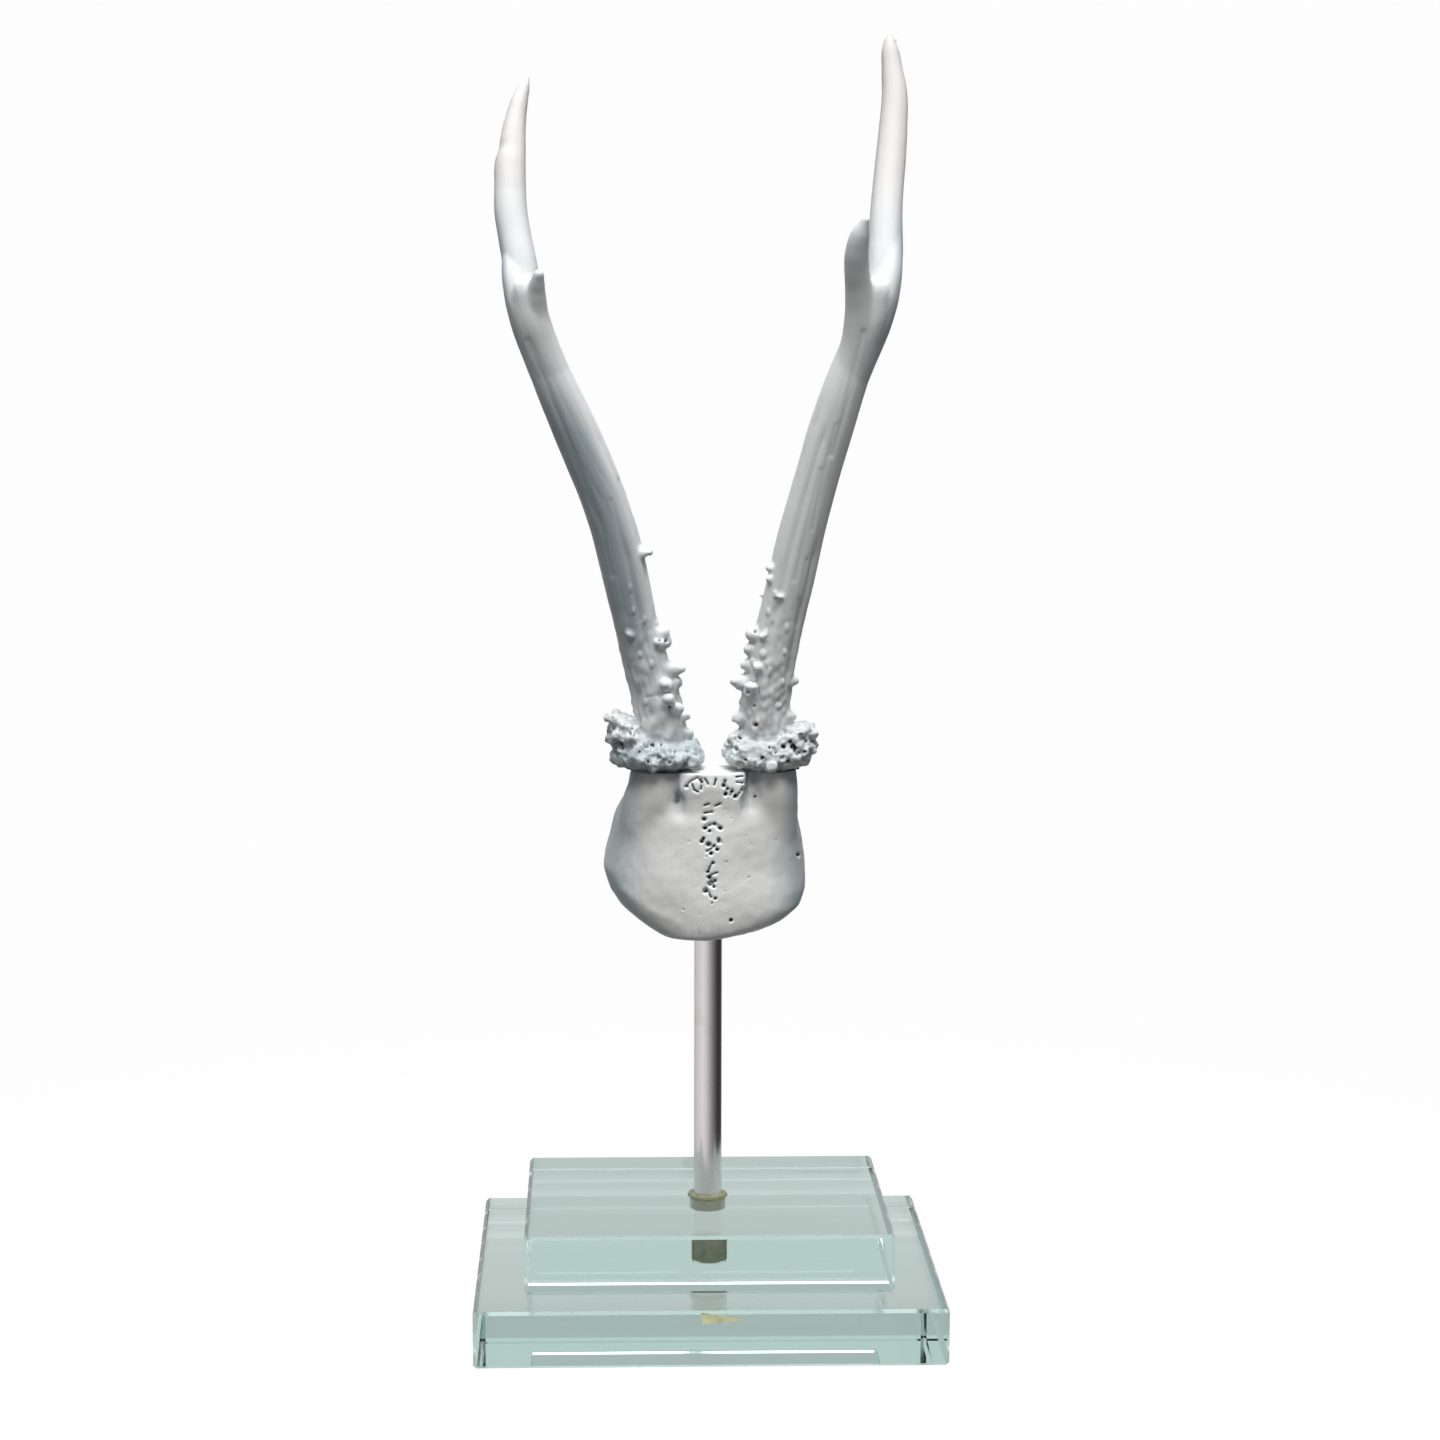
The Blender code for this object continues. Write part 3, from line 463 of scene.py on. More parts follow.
class Skin:
    """A mesh as arrays. Pushes are in millimetres along the surface's direction, + is outwards."""

    def __init__(self, mesh):
        self.mesh = mesh
        self.read()

    def read(self):
        self.points = read_array(self.mesh.vertices, "co", 3)
        self.normals = read_array(self.mesh.vertex_normals, "vector", 3)
        self.push = np.zeros(len(self.points))
        self.x, self.z = front_view(self.points)
        ray = self.points - np.array(DRAWING_EYE)
        ray /= np.linalg.norm(ray, axis=1)[:, None]
        self.faces_front = np.clip(-(self.normals * ray).sum(1) / MARK_SLOPE, 0, 1)

    def write(self):
        self.points += self.normals * (self.push * MM)[:, None]
        self.mesh.vertices.foreach_set("co", self.points.astype(np.float32).ravel())
        self.mesh.update()
        self.read()

    def pit(self, x, z, radius, depth):
        """A round pit at a place of the front view, or a small dome where the depth is negative."""
        away = np.hypot(self.x - x, self.z - z) / radius
        self.push -= self.faces_front * depth * np.exp(-(away ** 4))

    def dome(self, x, z, half_width, half_height, rise):
        away = np.hypot((self.x - x) / half_width, (self.z - z) / half_height)
        self.push += self.faces_front * rise * np.sqrt(np.clip(1 - away ** 2, 0, 1))

    def groove(self, path, half_width, depth):
        """A groove along a path of the front view, or a ridge where the depth is negative."""
        near = np.full(len(self.x), 1e9)
        for (ax, az), (bx, bz) in zip(path, path[1:]):
            length = (bx - ax) ** 2 + (bz - az) ** 2
            along = np.clip(((self.x - ax) * (bx - ax) + (self.z - az) * (bz - az)) / length, 0, 1)
            gap = np.hypot(self.x - ax - along * (bx - ax), self.z - az - along * (bz - az))
            near = np.minimum(near, gap)
        self.push -= self.faces_front * depth * np.exp(-((near / half_width) ** 2))

    def hole(self, centre, radius, depth):
        """A pit round any point of the surface, in metres, on whichever side."""
        away = np.linalg.norm(self.points - centre, axis=1) / radius
        self.push -= depth * np.exp(-(away ** 4))

    def smoothed(self, rounds):
        edges = read_array(self.mesh.edges, "vertices", 2, int)
        count = np.bincount(edges.ravel(), minlength=len(self.points))[:, None]
        smooth = self.points.copy()
        for _ in range(rounds):
            around = [
                np.bincount(edges[:, 0], smooth[edges[:, 1], i], len(smooth))
                + np.bincount(edges[:, 1], smooth[edges[:, 0], i], len(smooth))
                for i in range(3)
            ]
            smooth = (smooth + np.stack(around, 1) / np.maximum(count, 1)) / 2
        return smooth

    def keep_depth(self, name, rounds):
        """Stores how far each point lies below its surroundings, in millimetres."""
        below = ((self.smoothed(rounds) - self.points) * self.normals).sum(1) / MM
        self.keep(name, below)

    def keep(self, name, values):
        layer = self.mesh.attributes.new(name, "FLOAT", "POINT")
        layer.data.foreach_set("value", values.astype(np.float32))


# %% [markdown]
# ## Satin white paint on bone
#
# The bone was coated with a matt-satin white primer. The paint film is thin: it follows every pore.
# The colour reads the stored depth of the skin: the tops of pearls and ridges get a painted highlight,
# and hollows, creases and pits get painted shade, darkest in the pits. A stored share of painted shade
# greys the shaded flanks and bands of the beams and the sides of the skull plate. The tips are a touch
# warmer, and the roughness and a fine bump come from noise on the object's own coordinates.

# %% The paint
PAINT_WHITE = (0.80, 0.815, 0.82)
# Random paler paint, and the painted highlight on raised tops.
PAINT_PALE_AND_HIGHLIGHT = (0.87, 0.88, 0.88)
PAINT_CREAM = (0.80, 0.76, 0.70)
# The grey of random streaks, and the painted shade in hollows and creases.
PAINT_STREAK_AND_HOLLOW_SHADE = (0.50, 0.53, 0.56)
# Painted shade in the pits.
PAINT_PIT_SHADE = (0.055, 0.058, 0.066)
# Painted shade on the flanks, bands and sides that face away from the light.
PAINTED_SHADE_GREY = (0.40, 0.47, 0.50)
PAINT_TIP, TIP_FROM, TIP_TO = (0.66, 0.59, 0.57), 0.345, 0.385


def bone_paint(name, warmth, shade_pits_from, shade_pits_to):
    """White paint over bone. Warmth is its share of cream; painted shade darkens pits between two depths.
    """
    material, nodes, place = new_material(name)
    depth, wide, greyed = (nodes.attribute(name) for name in ("below", "below_wide", "greyed"))
    blotches = nodes.noise(place, 90.0, 4.0, 0.55)
    streaks = nodes.noise(nodes.stretched(place, (900.0, 900.0, 110.0)), 1.0, 4.0, 0.6)
    grain = nodes.noise(place, 2600.0, 3.0, 0.6)
    pores = nodes.node("ShaderNodeTexVoronoi", {}, {"Vector": place, "Scale": 1500.0}, "Distance")
    thin = blotches.over(0.35, 0.75)
    colour = nodes.mix(thin * 0.5 + streaks * 0.3, PAINT_WHITE, PAINT_PALE_AND_HIGHLIGHT)
    colour = nodes.mix(warmth, colour, PAINT_CREAM)
    # Painted shade on the shaded flanks and bands, from the stored share.
    colour = nodes.mix(greyed * (0.8 + blotches * 0.4), colour, PAINTED_SHADE_GREY)
    colour = nodes.mix(streaks.over(0.5, 0.8) * 0.22, colour, PAINT_STREAK_AND_HOLLOW_SHADE)
    height = nodes.axis(place, "Z")
    colour = nodes.mix(height.over(TIP_FROM, TIP_TO) * (0.35 + blotches * 0.3), colour, PAINT_TIP)
    # A painted highlight on the raised tops of pearls and ridges.
    colour = nodes.mix((0.0 - depth).over(0.02, 0.14) * (0.7 - greyed * 0.55), colour, PAINT_PALE_AND_HIGHLIGHT)
    # Painted shade in broad hollows and in creases, and black painted shade in the pits.
    colour = nodes.mix(wide.over(0.05, 0.5) * 0.55, colour, PAINT_STREAK_AND_HOLLOW_SHADE)
    colour = nodes.mix(depth.over(0.04, 0.20) * 0.7, colour, PAINT_STREAK_AND_HOLLOW_SHADE)
    colour = nodes.mix(depth.over(shade_pits_from, shade_pits_to), colour, PAINT_PIT_SHADE)
    rough = 0.42 + blotches * 0.16 + depth.over(0.03, 0.2) * 0.2
    height = grain * 0.35 + streaks * 0.5 + pores.over(0.0, 0.35) * 0.25
    nodes.paint({
        "Base Color": colour, "Roughness": rough, "Normal": nodes.bump(0.35, 0.00012, height),
        "IOR": 1.42, "Specular IOR Level": 0.35,
    })
    return material


antler_paint = bone_paint("white_painted_antler", 0.05, 0.13, 0.32)
skull_paint = bone_paint("white_painted_bone", 0.25, 0.04, 0.12)
print("paint", antler_paint.name, skull_paint.name)

# %% [markdown]
# ## Pearls
#
# The lower half of a roe antler is covered with pearls: small elongated beads that the blood vessels
# left standing between them. Placing hundreds by hand is no work for anyone, so Geometry Nodes
# scatters beads over the surface of the beam, more of them low down, each of a random size.


# %% A tree that scatters pearls over a beam
BEAD_POINTS = 42


def pearl_tree():
    """Scatters beads on the faces between two heights, and the inputs of the tree by name."""
    tree = bpy.data.node_groups.new("pearls_on_a_beam", "GeometryNodeTree")
    sockets = {}
    tree.interface.new_socket("Geometry", in_out="INPUT", socket_type="NodeSocketGeometry")
    for name, kind in (
        ("Low", "Float"), ("High", "Float"), ("Spacing", "Float"), ("Crowding", "Float"),
        ("Smallest", "Float"), ("Largest", "Float"), ("Stretch", "Float"), ("Seed", "Int"),
        ("Paint", "Material"),
    ):
        item = tree.interface.new_socket(name, in_out="INPUT", socket_type=f"NodeSocket{kind}")
        sockets[name] = item.identifier
    tree.interface.new_socket("Geometry", in_out="OUTPUT", socket_type="NodeSocketGeometry")
    nodes = Nodes(tree)
    given = nodes.node("NodeGroupInput")
    height = nodes.axis(nodes.node("GeometryNodeInputPosition"), "Z")
    share = 1.0 - (height - given.out("Low")) / (given.out("High") - given.out("Low"))
    low_enough = nodes.node("FunctionNodeCompare", {"operation": "GREATER_THAN"}, {0: share, 1: 0.0})
    high_enough = nodes.node("FunctionNodeCompare", {"operation": "LESS_THAN"}, {0: share, 1: 1.0})
    both = nodes.node("FunctionNodeBooleanMath", {"operation": "AND"}, {0: low_enough, 1: high_enough})
    points = nodes.node(
        "GeometryNodeDistributePointsOnFaces", {"distribute_method": "POISSON"},
        {
            "Mesh": given.out("Geometry"), "Selection": both, "Distance Min": given.out("Spacing"),
            "Density Max": given.out("Crowding"), "Density Factor": share.over(0.0, 0.8),
            "Seed": given.out("Seed"),
        },
        "Points",
    )
    size = nodes.node(
        "FunctionNodeRandomValue", {"data_type": "FLOAT"},
        {2: given.out("Smallest"), 3: given.out("Largest"), "Seed": given.out("Seed")}, 1,
    )
    tall = nodes.node(
        "ShaderNodeCombineXYZ", {}, {"X": size, "Y": size, "Z": size * given.out("Stretch")}
    )
    bead = nodes.node("GeometryNodeMeshIcoSphere", {}, {"Radius": 1.0, "Subdivisions": 2})
    beads = nodes.node(
        "GeometryNodeInstanceOnPoints", {}, {"Points": points, "Instance": bead, "Scale": tall}
    )
    solid = nodes.node("GeometryNodeRealizeInstances", {}, {"Geometry": beads})
    painted = nodes.node(
        "GeometryNodeSetMaterial", {}, {"Geometry": solid, "Material": given.out("Paint")}
    )
    nodes.node("NodeGroupOutput", {}, {"Geometry": painted})
    return tree, sockets


PEARL_TREE, PEARL_SOCKETS = pearl_tree()
print("pearl tree of", len(PEARL_TREE.nodes), "nodes")


def add_pearls(bm, stations, **sizes):
    """Adds the pearls of one beam to the shapes that are melted together."""
    guide = add_object("pearl_guide", tube_mesh(stations))
    scatter = guide.modifiers.new("pearls", "NODES")
    scatter.node_group = PEARL_TREE
    sizes["Paint"] = antler_paint
    for name, value in sizes.items():
        scatter[PEARL_SOCKETS[name]] = value
    pearls = evaluated_mesh(guide)
    bm.from_mesh(pearls)
    bpy.data.objects.remove(guide)
    return len(pearls.vertices) // BEAD_POINTS


# %% [markdown]
# ## The antlers
#
# An antler is one bone: a beam that rises from the burr, a ring of knobbly outgrowth at its foot, one
# front tine and the top. The beam and the tine are tubes, and two shorter tubes, the saddle and the
# flank, fill the web of bone between them. The burr is rows of lumps that climb on the outer side. All
# of it is melted at less than half a millimetre. Then come the long furrows of the blood vessels, the
# fine grain along the beam and the pits that the front view shows.


# %% Knobs and burr
KNOB_TIP, KNOB_FOOT = 1.12, 1.35
BACK_KNOBS, BACK_KNOBS_LOW, BACK_KNOBS_HIGH = 16, 0.192, 0.240
BACK_KNOB_SMALLEST, BACK_KNOB_LARGEST = 0.0011, 0.0020
BACK_FROM, BACK_TO = math.radians(105), math.radians(215)
BURR_CORE_INSET, BURR_CORE_FOOT, BURR_CORE_TIP = 0.0040, 0.0031, 0.0027
BURR_LUMP_FOOT, BURR_LUMP_SMALLEST, BURR_LUMP_LARGEST = 0.0032, 0.0014, 0.0026


def axis_at(stations, height):
    """The beam's axis point and radius at a height."""
    heights = [s[2] for s in stations]
    centre = Vector([float(np.interp(height, heights, [s[i] for s in stations])) for i in range(3)])
    return centre, float(np.interp(height, heights, [s[3] for s in stations]))


def add_front_knobs(bm, stations, knobs):
    """Knobs whose tips lie at a given (x, z) of the front view, on the front half of the beam."""
    for x, z, foot_radius, tip_radius in knobs:
        axis, radius = axis_at(stations, z)
        across = (x - axis.x) / (radius + 0.5 * tip_radius)
        turn = math.asin(max(-0.97, min(0.97, across)))
        tip_radius *= KNOB_TIP
        reach = max(radius + 0.4 * tip_radius, abs(x - axis.x) - tip_radius)
        outward = Vector((math.sin(turn), -math.cos(turn), 0.0))
        foot_radius *= KNOB_FOOT
        foot = axis + outward * (radius - foot_radius) - Vector((0, 0, 0.15 * foot_radius))
        add_knob(bm, foot, axis + outward * reach, foot_radius, tip_radius)


def add_back_knobs(bm, stations, inner_side, rng):
    """Random knobs on the half that the front view doesn't show."""
    for _ in range(BACK_KNOBS):
        z = rng.uniform(BACK_KNOBS_LOW, BACK_KNOBS_HIGH)
        axis, radius = axis_at(stations, z)
        turn = inner_side * rng.uniform(BACK_FROM, BACK_TO)
        outward = Vector((math.sin(turn), -math.cos(turn), 0.25)).normalized()
        size = rng.uniform(BACK_KNOB_SMALLEST, BACK_KNOB_LARGEST)
        foot = axis + outward * (radius - 0.7 * size)
        add_knob(bm, foot, foot + outward * rng.uniform(0.9, 1.9) * size, size, 0.55 * size)


def burr_rise(burr, turn):
    """How far the burr has climbed in a direction: most on the side away from the other antler."""
    away = burr["outer"] * math.sin(turn)
    return burr["outer_rise"] * away ** 1.6 if away > 0 else burr["inner_rise"] * away ** 2


def burr_reach(burr, turn):
    return burr["reach"] + (burr["side_reach"] - burr["reach"]) * math.sin(turn) ** 2


def add_burr(bm, burr, rng):
    """A core ring and rows of lumps round the foot of the beam."""
    cx, cy = burr["centre"]
    for k in range(BURR_CORE_BALLS):
        turn = 2 * math.pi * k / BURR_CORE_BALLS
        rise = burr_rise(burr, turn)
        reach = burr_reach(burr, turn) - BURR_CORE_INSET
        outward = Vector((math.sin(turn), -math.cos(turn), 0.0)) * reach
        low = Vector((cx, cy, BURR_BOTTOM + BURR_RIM_LIFT + 0.0026)) + outward
        high = low + Vector((0, 0, 0.0024 + BURR_RISE * 0.7 * rise))
        add_knob(bm, low, high, BURR_CORE_FOOT, BURR_CORE_TIP, 2)
    for row, row_step in enumerate(BURR_ROW_STEPS):
        for k in range(BURR_LUMPS_PER_ROW):
            turn = 2 * math.pi * (k + 0.5 * row + rng.uniform(-0.25, 0.25)) / BURR_LUMPS_PER_ROW
            rise = burr_rise(burr, turn)
            size = rng.uniform(BURR_LUMP_SMALLEST, BURR_LUMP_LARGEST)
            reach = burr_reach(burr, turn) + rng.uniform(-0.0014, 0.0008)
            reach -= row_step * (1 - 0.8 * rise)
            height = BURR_BOTTOM + BURR_RIM_LIFT + 0.0016 + row * (0.0022 + 0.0018 * rise)
            height += BURR_RISE * 0.62 * rise + rng.uniform(-0.0005, 0.0007)
            outward = Vector((math.sin(turn), -math.cos(turn), 0.0))
            lump = Vector((cx, cy, height)) + outward * (reach - size * 0.4)
            root = Vector((cx, cy, height - 0.35 * BURR_RISE * rise)) + outward * reach * 0.45
            add_knob(bm, root, lump, BURR_LUMP_FOOT, size, 3)


# %% Furrows and grain along a beam
FURROW_FADE = 0.010
# Grain: lines round the beam, the height in millimetres of one turn, and the depth.
GRAIN = ((6, 80.0, 0.10), (13, 45.0, 0.04), (29, 30.0, 0.022))
GRAIN_WAVES = 7
GRAIN_HEIGHTS, GRAIN_STRENGTHS = (190, 240, 300, 360, 420), (1.0, 1.15, 0.8, 0.45, 0.4)
CRAGS = ((0.20, 0.0046, 24), (0.11, 0.0022, 24), (0.05, 0.0012, 24))
CRAGGY_OVER, CRAGGY_FADE = 0.008, 0.006
KNOTTY_TOP, KNOTTY_FADE = 0.240, 0.035
KNOTS = ((0.19, (0.005, 0.005, 0.009)), (0.08, (0.0022, 0.0022, 0.004)))
BURR_HOLES = 30


def round_the_beam(points, stations):
    """Direction round the axis (0 to the front), distance from the axis, and the beam's radius."""
    heights = [s[2] for s in stations]
    axis_x, axis_y, radius = (
        np.interp(points[:, 2], heights, [s[i] for s in stations]) for i in (0, 1, 3)
    )
    out_x, out_y = points[:, 0] - axis_x, points[:, 1] - axis_y
    return np.arctan2(out_x, -out_y), np.hypot(out_x, out_y), radius


def carve_furrows(skin, stations, furrows):
    """Long furrows: direction at both ends in degrees, both ends, depth and half width."""
    turn, reach, radius = round_the_beam(skin.points, stations)
    for low_turn, high_turn, low, high, deepest, half_width in furrows:
        middle = np.radians(np.interp(skin.points[:, 2], (low, high), (low_turn, high_turn)))
        away = np.angle(np.exp(1j * (turn - middle))) * radius
        from_end = np.minimum(skin.points[:, 2] - low, high - skin.points[:, 2])
        fade = np.clip(from_end / FURROW_FADE, 0, 1) ** 2
        shape = deepest / MM * fade * np.exp(-((away / half_width) ** 2))
        skin.push -= shape * (reach < 1.35 * radius)


def carve_grain(skin, stations, rng):
    """Fine ridges and furrows along the beam, deeper near its foot, that close round its back."""
    turn = round_the_beam(skin.points, stations)[0]
    height = skin.points[:, 2] / MM
    drift = 0.35 * waves(skin.points, (0.03, 0.03, 0.05), 8, rng)
    for cycles, length, share in GRAIN:
        lines = np.zeros(len(height))
        for _ in range(GRAIN_WAVES):
            number = rng.integers(int(cycles * 0.75), int(cycles * 1.3) + 1)
            lean = 2 * math.pi / (length * rng.uniform(0.7, 1.6)) * rng.choice((-1, 1))
            lines += np.sin(number * (turn + drift * 0.3) + lean * height + rng.uniform(0, 2 * math.pi))
        lines /= math.sqrt(GRAIN_WAVES / 2)
        strength = np.interp(height, GRAIN_HEIGHTS, GRAIN_STRENGTHS)
        skin.push -= share * strength * (1 - np.abs(np.tanh(lines)) * 1.3)


def painted_shade_patches(skin, stations, patches):
    """Painted shade on the beam: patches of direction, spread, three heights and strength."""
    turn = round_the_beam(skin.points, stations)[0]
    film = np.zeros(len(turn))
    for middle, spread, low, full, high, strength in patches:
        away = np.degrees(np.angle(np.exp(1j * (turn - math.radians(middle))))) / spread
        height = np.interp(skin.points[:, 2], (low, full[0], full[1], high), (0.0, 1.0, 1.0, 0.0))
        film = np.maximum(film, strength * np.exp(-(away ** 4)) * height)
    return film


def carve_crags(skin, burr, rng):
    """Craggy swellings and holes over the burr, all the way round."""
    cx, cy = burr["centre"]
    out = skin.points - np.array((cx, cy, 0))
    turn = np.arctan2(out[:, 0], -out[:, 1])
    rise = np.array([burr_rise(burr, t) for t in turn])
    top = BURR_BOTTOM + CRAGGY_OVER + BURR_RISE * rise
    share = np.clip((top + CRAGGY_FADE - skin.points[:, 2]) / CRAGGY_FADE, 0, 1)
    skin.push += share * swellings(skin.points, CRAGS, rng)
    knotty = np.clip((KNOTTY_TOP - skin.points[:, 2]) / KNOTTY_FADE, 0, 1)
    for height, lengths in KNOTS:
        skin.push += knotty * height * waves(skin.points, lengths, 24, rng)
    low = np.flatnonzero((share > 0.9) & (skin.points[:, 2] > BURR_BOTTOM + 0.001))
    for index in rng.choice(low, BURR_HOLES, replace=False):
        size = rng.uniform(0.35, 0.95)
        skin.hole(skin.points[index], size * MM, size * rng.uniform(0.6, 1.3))


# %% The marks of the left antler
# A furrow: direction at its two ends in degrees, both ends, depth, half width. A pit: x, z, radius.
# A pearl: x, z, half width, half height. A groove: its path and half width. A patch of painted shade:
# direction and spread in degrees, where it starts, is full and ends, and its strength.
LEFT_FURROWS = (
    (-56, -52, 0.188, 0.222, 0.0008, 0.0011), (14, 20, 0.214, 0.262, 0.0006, 0.0013),
    (75, 60, 0.235, 0.300, 0.0006, 0.0013), (150, 160, 0.200, 0.330, 0.0007, 0.0013),
    (-120, -130, 0.195, 0.310, 0.0006, 0.0013), (-170, -178, 0.230, 0.370, 0.0006, 0.0010),
    (112, 100, 0.205, 0.290, 0.0006, 0.0009), (-90, -84, 0.250, 0.350, 0.0005, 0.0009),
)
LEFT_PITS = (
    (-18.5, 188.6, 1.08), (-19.7, 188.4, 0.74), (-17.4, 188.4, 0.74), (-15.4, 184.2, 0.60),
    (-18.9, 182.9, 0.34), (-11.8, 182.4, 0.47), (-28.0, 193.6, 0.67), (-24.9, 192.4, 0.60),
    (-23.9, 194.1, 0.40), (-23.3, 191.9, 0.50), (-25.6, 197.5, 0.40), (-29.5, 189.1, 1.01),
    (-28.2, 187.8, 1.14), (-11.8, 200.6, 0.54), (-30.5, 194.1, 0.40), (-32.1, 192.4, 0.40),
    (-21.7, 186.1, 0.40), (-19.6, 248.9, 0.40), (-13.0, 222.7, 0.44), (-15.1, 223.2, 0.34),
    (-14.8, 188.7, 0.40), (-9.8, 186.1, 0.47),
)
LEFT_PEARLS = (
    (-12.5, 203.9, 1.7, 1.7), (-13.8, 208.6, 1.5, 1.5), (-16.2, 222.4, 1.0, 1.3),
    (-25.8, 225.5, 0.8, 1.5), (-24.5, 240.1, 0.7, 1.5), (-21.6, 218.1, 0.8, 1.3),
    (-17.7, 215.1, 0.8, 1.5), (-19.7, 202.6, 0.8, 1.3), (-23.5, 232.6, 0.7, 1.3),
    (-15.7, 228.9, 0.8, 1.2), (-9.9, 206.6, 0.8, 1.5), (-20.0, 229.6, 0.7, 1.5),
)
LEFT_GROOVES = (
    (((-19.0, 211.2), (-18.0, 207.9), (-17.0, 205.6)), 0.40),
    (((-18.4, 204.3), (-16.7, 204.6), (-15.1, 204.6)), 0.34),
    (((-24.6, 215.8), (-22.6, 206.6), (-21.3, 201.3), (-20.3, 195.4)), 0.34),
    (((-23.6, 213.8), (-21.3, 204.9), (-20.0, 197.3)), 0.30),
    (((-25.5, 213.9), (-23.6, 205.0), (-22.3, 198.3), (-21.3, 194.0)), 0.34),
    (((-57.5, 320.0), (-50.5, 303.3), (-42.6, 282.0), (-34.5, 261.0), (-30.7, 244.3)), 0.60),
    (((-49.0, 291.4), (-42.6, 273.6), (-37.8, 257.4), (-34.6, 244.4)), 0.37),
    (((-11.2, 199.3), (-9.8, 191.7)), 0.47), (((-8.2, 200.6), (-7.2, 189.4)), 0.47),
    (((-5.9, 197.3), (-5.3, 188.7)), 0.47), (((-9.9, 201.6), (-8.5, 194.0)), 0.34),
    (((-15.1, 199.3), (-14.8, 190.0)), 0.27),
    (((-28.0, 275.2), (-23.2, 255.7), (-20.0, 239.4), (-18.3, 226.3)), 0.50),
    (((-30.6, 268.7), (-25.5, 249.2), (-21.6, 229.6)), 0.34),
)
LEFT_ANTLER = {
    "beam": LEFT_BEAM, "tine": LEFT_TINE, "saddle": LEFT_SADDLE, "flank": LEFT_FLANK,
    "pedicle": LEFT_PEDICLE, "burr": LEFT_BURR, "knobs": LEFT_KNOBS, "furrows": LEFT_FURROWS,
    "pits": LEFT_PITS, "pearls": LEFT_PEARLS, "grooves": LEFT_GROOVES, "fray": (),
    # Patches of painted shade.
    "greyed": (
        (-20, 62, 0.206, (0.228, 0.292), 0.325, 0.95), (0, 400, 0.200, (0.205, 0.208), 0.24, 0.25),
        (60, 60, 0.385, (0.392, 0.402), 0.41, 0.5), (0, 400, 0.170, (0.175, 0.190), 0.200, 0.82),
        (-72, 36, 0.300, (0.325, 0.352), 0.378, 0.80), (0, 400, 0.330, (0.345, 0.39), 0.42, 0.28),
        (0, 400, 0.364, (0.369, 0.371), 0.377, 0.40),
    ),
}

# %% The marks of the right antler
RIGHT_FURROWS = (
    (48, 44, 0.205, 0.262, 0.0008, 0.0012), (-22, -20, 0.225, 0.300, 0.0005, 0.0013),
    (-70, -62, 0.240, 0.305, 0.0006, 0.0013), (-150, -160, 0.200, 0.330, 0.0007, 0.0013),
    (120, 130, 0.195, 0.310, 0.0006, 0.0013), (170, 178, 0.230, 0.380, 0.0006, 0.0010),
    (-112, -100, 0.205, 0.290, 0.0006, 0.0009), (90, 84, 0.250, 0.350, 0.0005, 0.0009),
)
RIGHT_PITS = (
    (10.9, 206.3, 0.50), (13.7, 205.5, 0.54), (16.0, 194.9, 0.60), (9.5, 187.0, 0.87),
    (11.1, 191.0, 0.60), (25.4, 187.8, 0.60), (20.7, 187.4, 0.37), (31.2, 191.6, 0.50),
    (32.2, 190.6, 0.50), (33.1, 189.6, 0.47), (27.6, 189.2, 0.54), (28.6, 187.9, 0.74),
    (29.5, 186.6, 0.74), (30.2, 185.6, 0.54), (15.7, 201.2, 0.40), (15.9, 225.9, 0.44),
    (7.2, 189.3, 0.47), (12.8, 183.3, 0.47), (18.4, 184.0, 0.40), (23.0, 185.9, 0.50),
    (26.9, 182.6, 0.54), (32.5, 185.9, 0.54), (34.4, 192.5, 0.40),
)
RIGHT_PEARLS = (
    (19.4, 225.2, 0.9, 1.5), (18.6, 218.3, 1.1, 1.7), (15.3, 215.7, 0.8, 1.5),
    (15.0, 207.8, 2.4, 1.5), (16.0, 206.5, 1.3, 1.5), (22.4, 238.0, 0.8, 1.5),
    (14.1, 198.6, 0.7, 1.3), (23.9, 201.2, 1.2, 1.2), (25.8, 219.0, 0.8, 1.2),
    (25.2, 209.1, 0.8, 1.3), (20.9, 212.4, 0.8, 1.7), (17.0, 196.2, 0.7, 1.2),
    (20.2, 232.1, 0.7, 1.5), (26.4, 226.9, 0.7, 1.7), (11.4, 202.9, 0.8, 1.2),
)
RIGHT_GROOVES = (
    (((50.4, 322.5), (47.3, 309.6), (44.2, 294.8), (40.7, 283.2)), 0.60),
    (((30.6, 236.0), (29.0, 222.9), (26.8, 213.7), (26.5, 201.5), (27.5, 191.6)), 0.50),
    (((32.5, 249.1), (30.6, 236.0), (29.3, 227.8)), 0.40),
    (((20.3, 191.6), (20.9, 203.2), (20.2, 213.7), (21.5, 222.9), (22.4, 232.8)), 0.34),
    (((16.7, 189.9), (17.7, 203.2), (16.6, 211.1)), 0.30),
    (((21.3, 187.3), (22.3, 199.2), (22.9, 206.5)), 0.34),
    (((24.3, 188.3), (25.2, 198.2), (23.9, 203.2)), 0.37),
    (((19.6, 216.4), (20.8, 222.9), (21.5, 227.9)), 0.34),
    (((25.9, 189.9), (26.2, 198.2)), 0.30),
    (((18.6, 203.2), (18.4, 193.3), (19.0, 186.0)), 0.24),
    (((36.8, 278.4), (32.4, 258.9), (28.9, 242.6)), 0.44),
    (((41.9, 292.9), (37.5, 275.1), (34.4, 258.9)), 0.34),
)
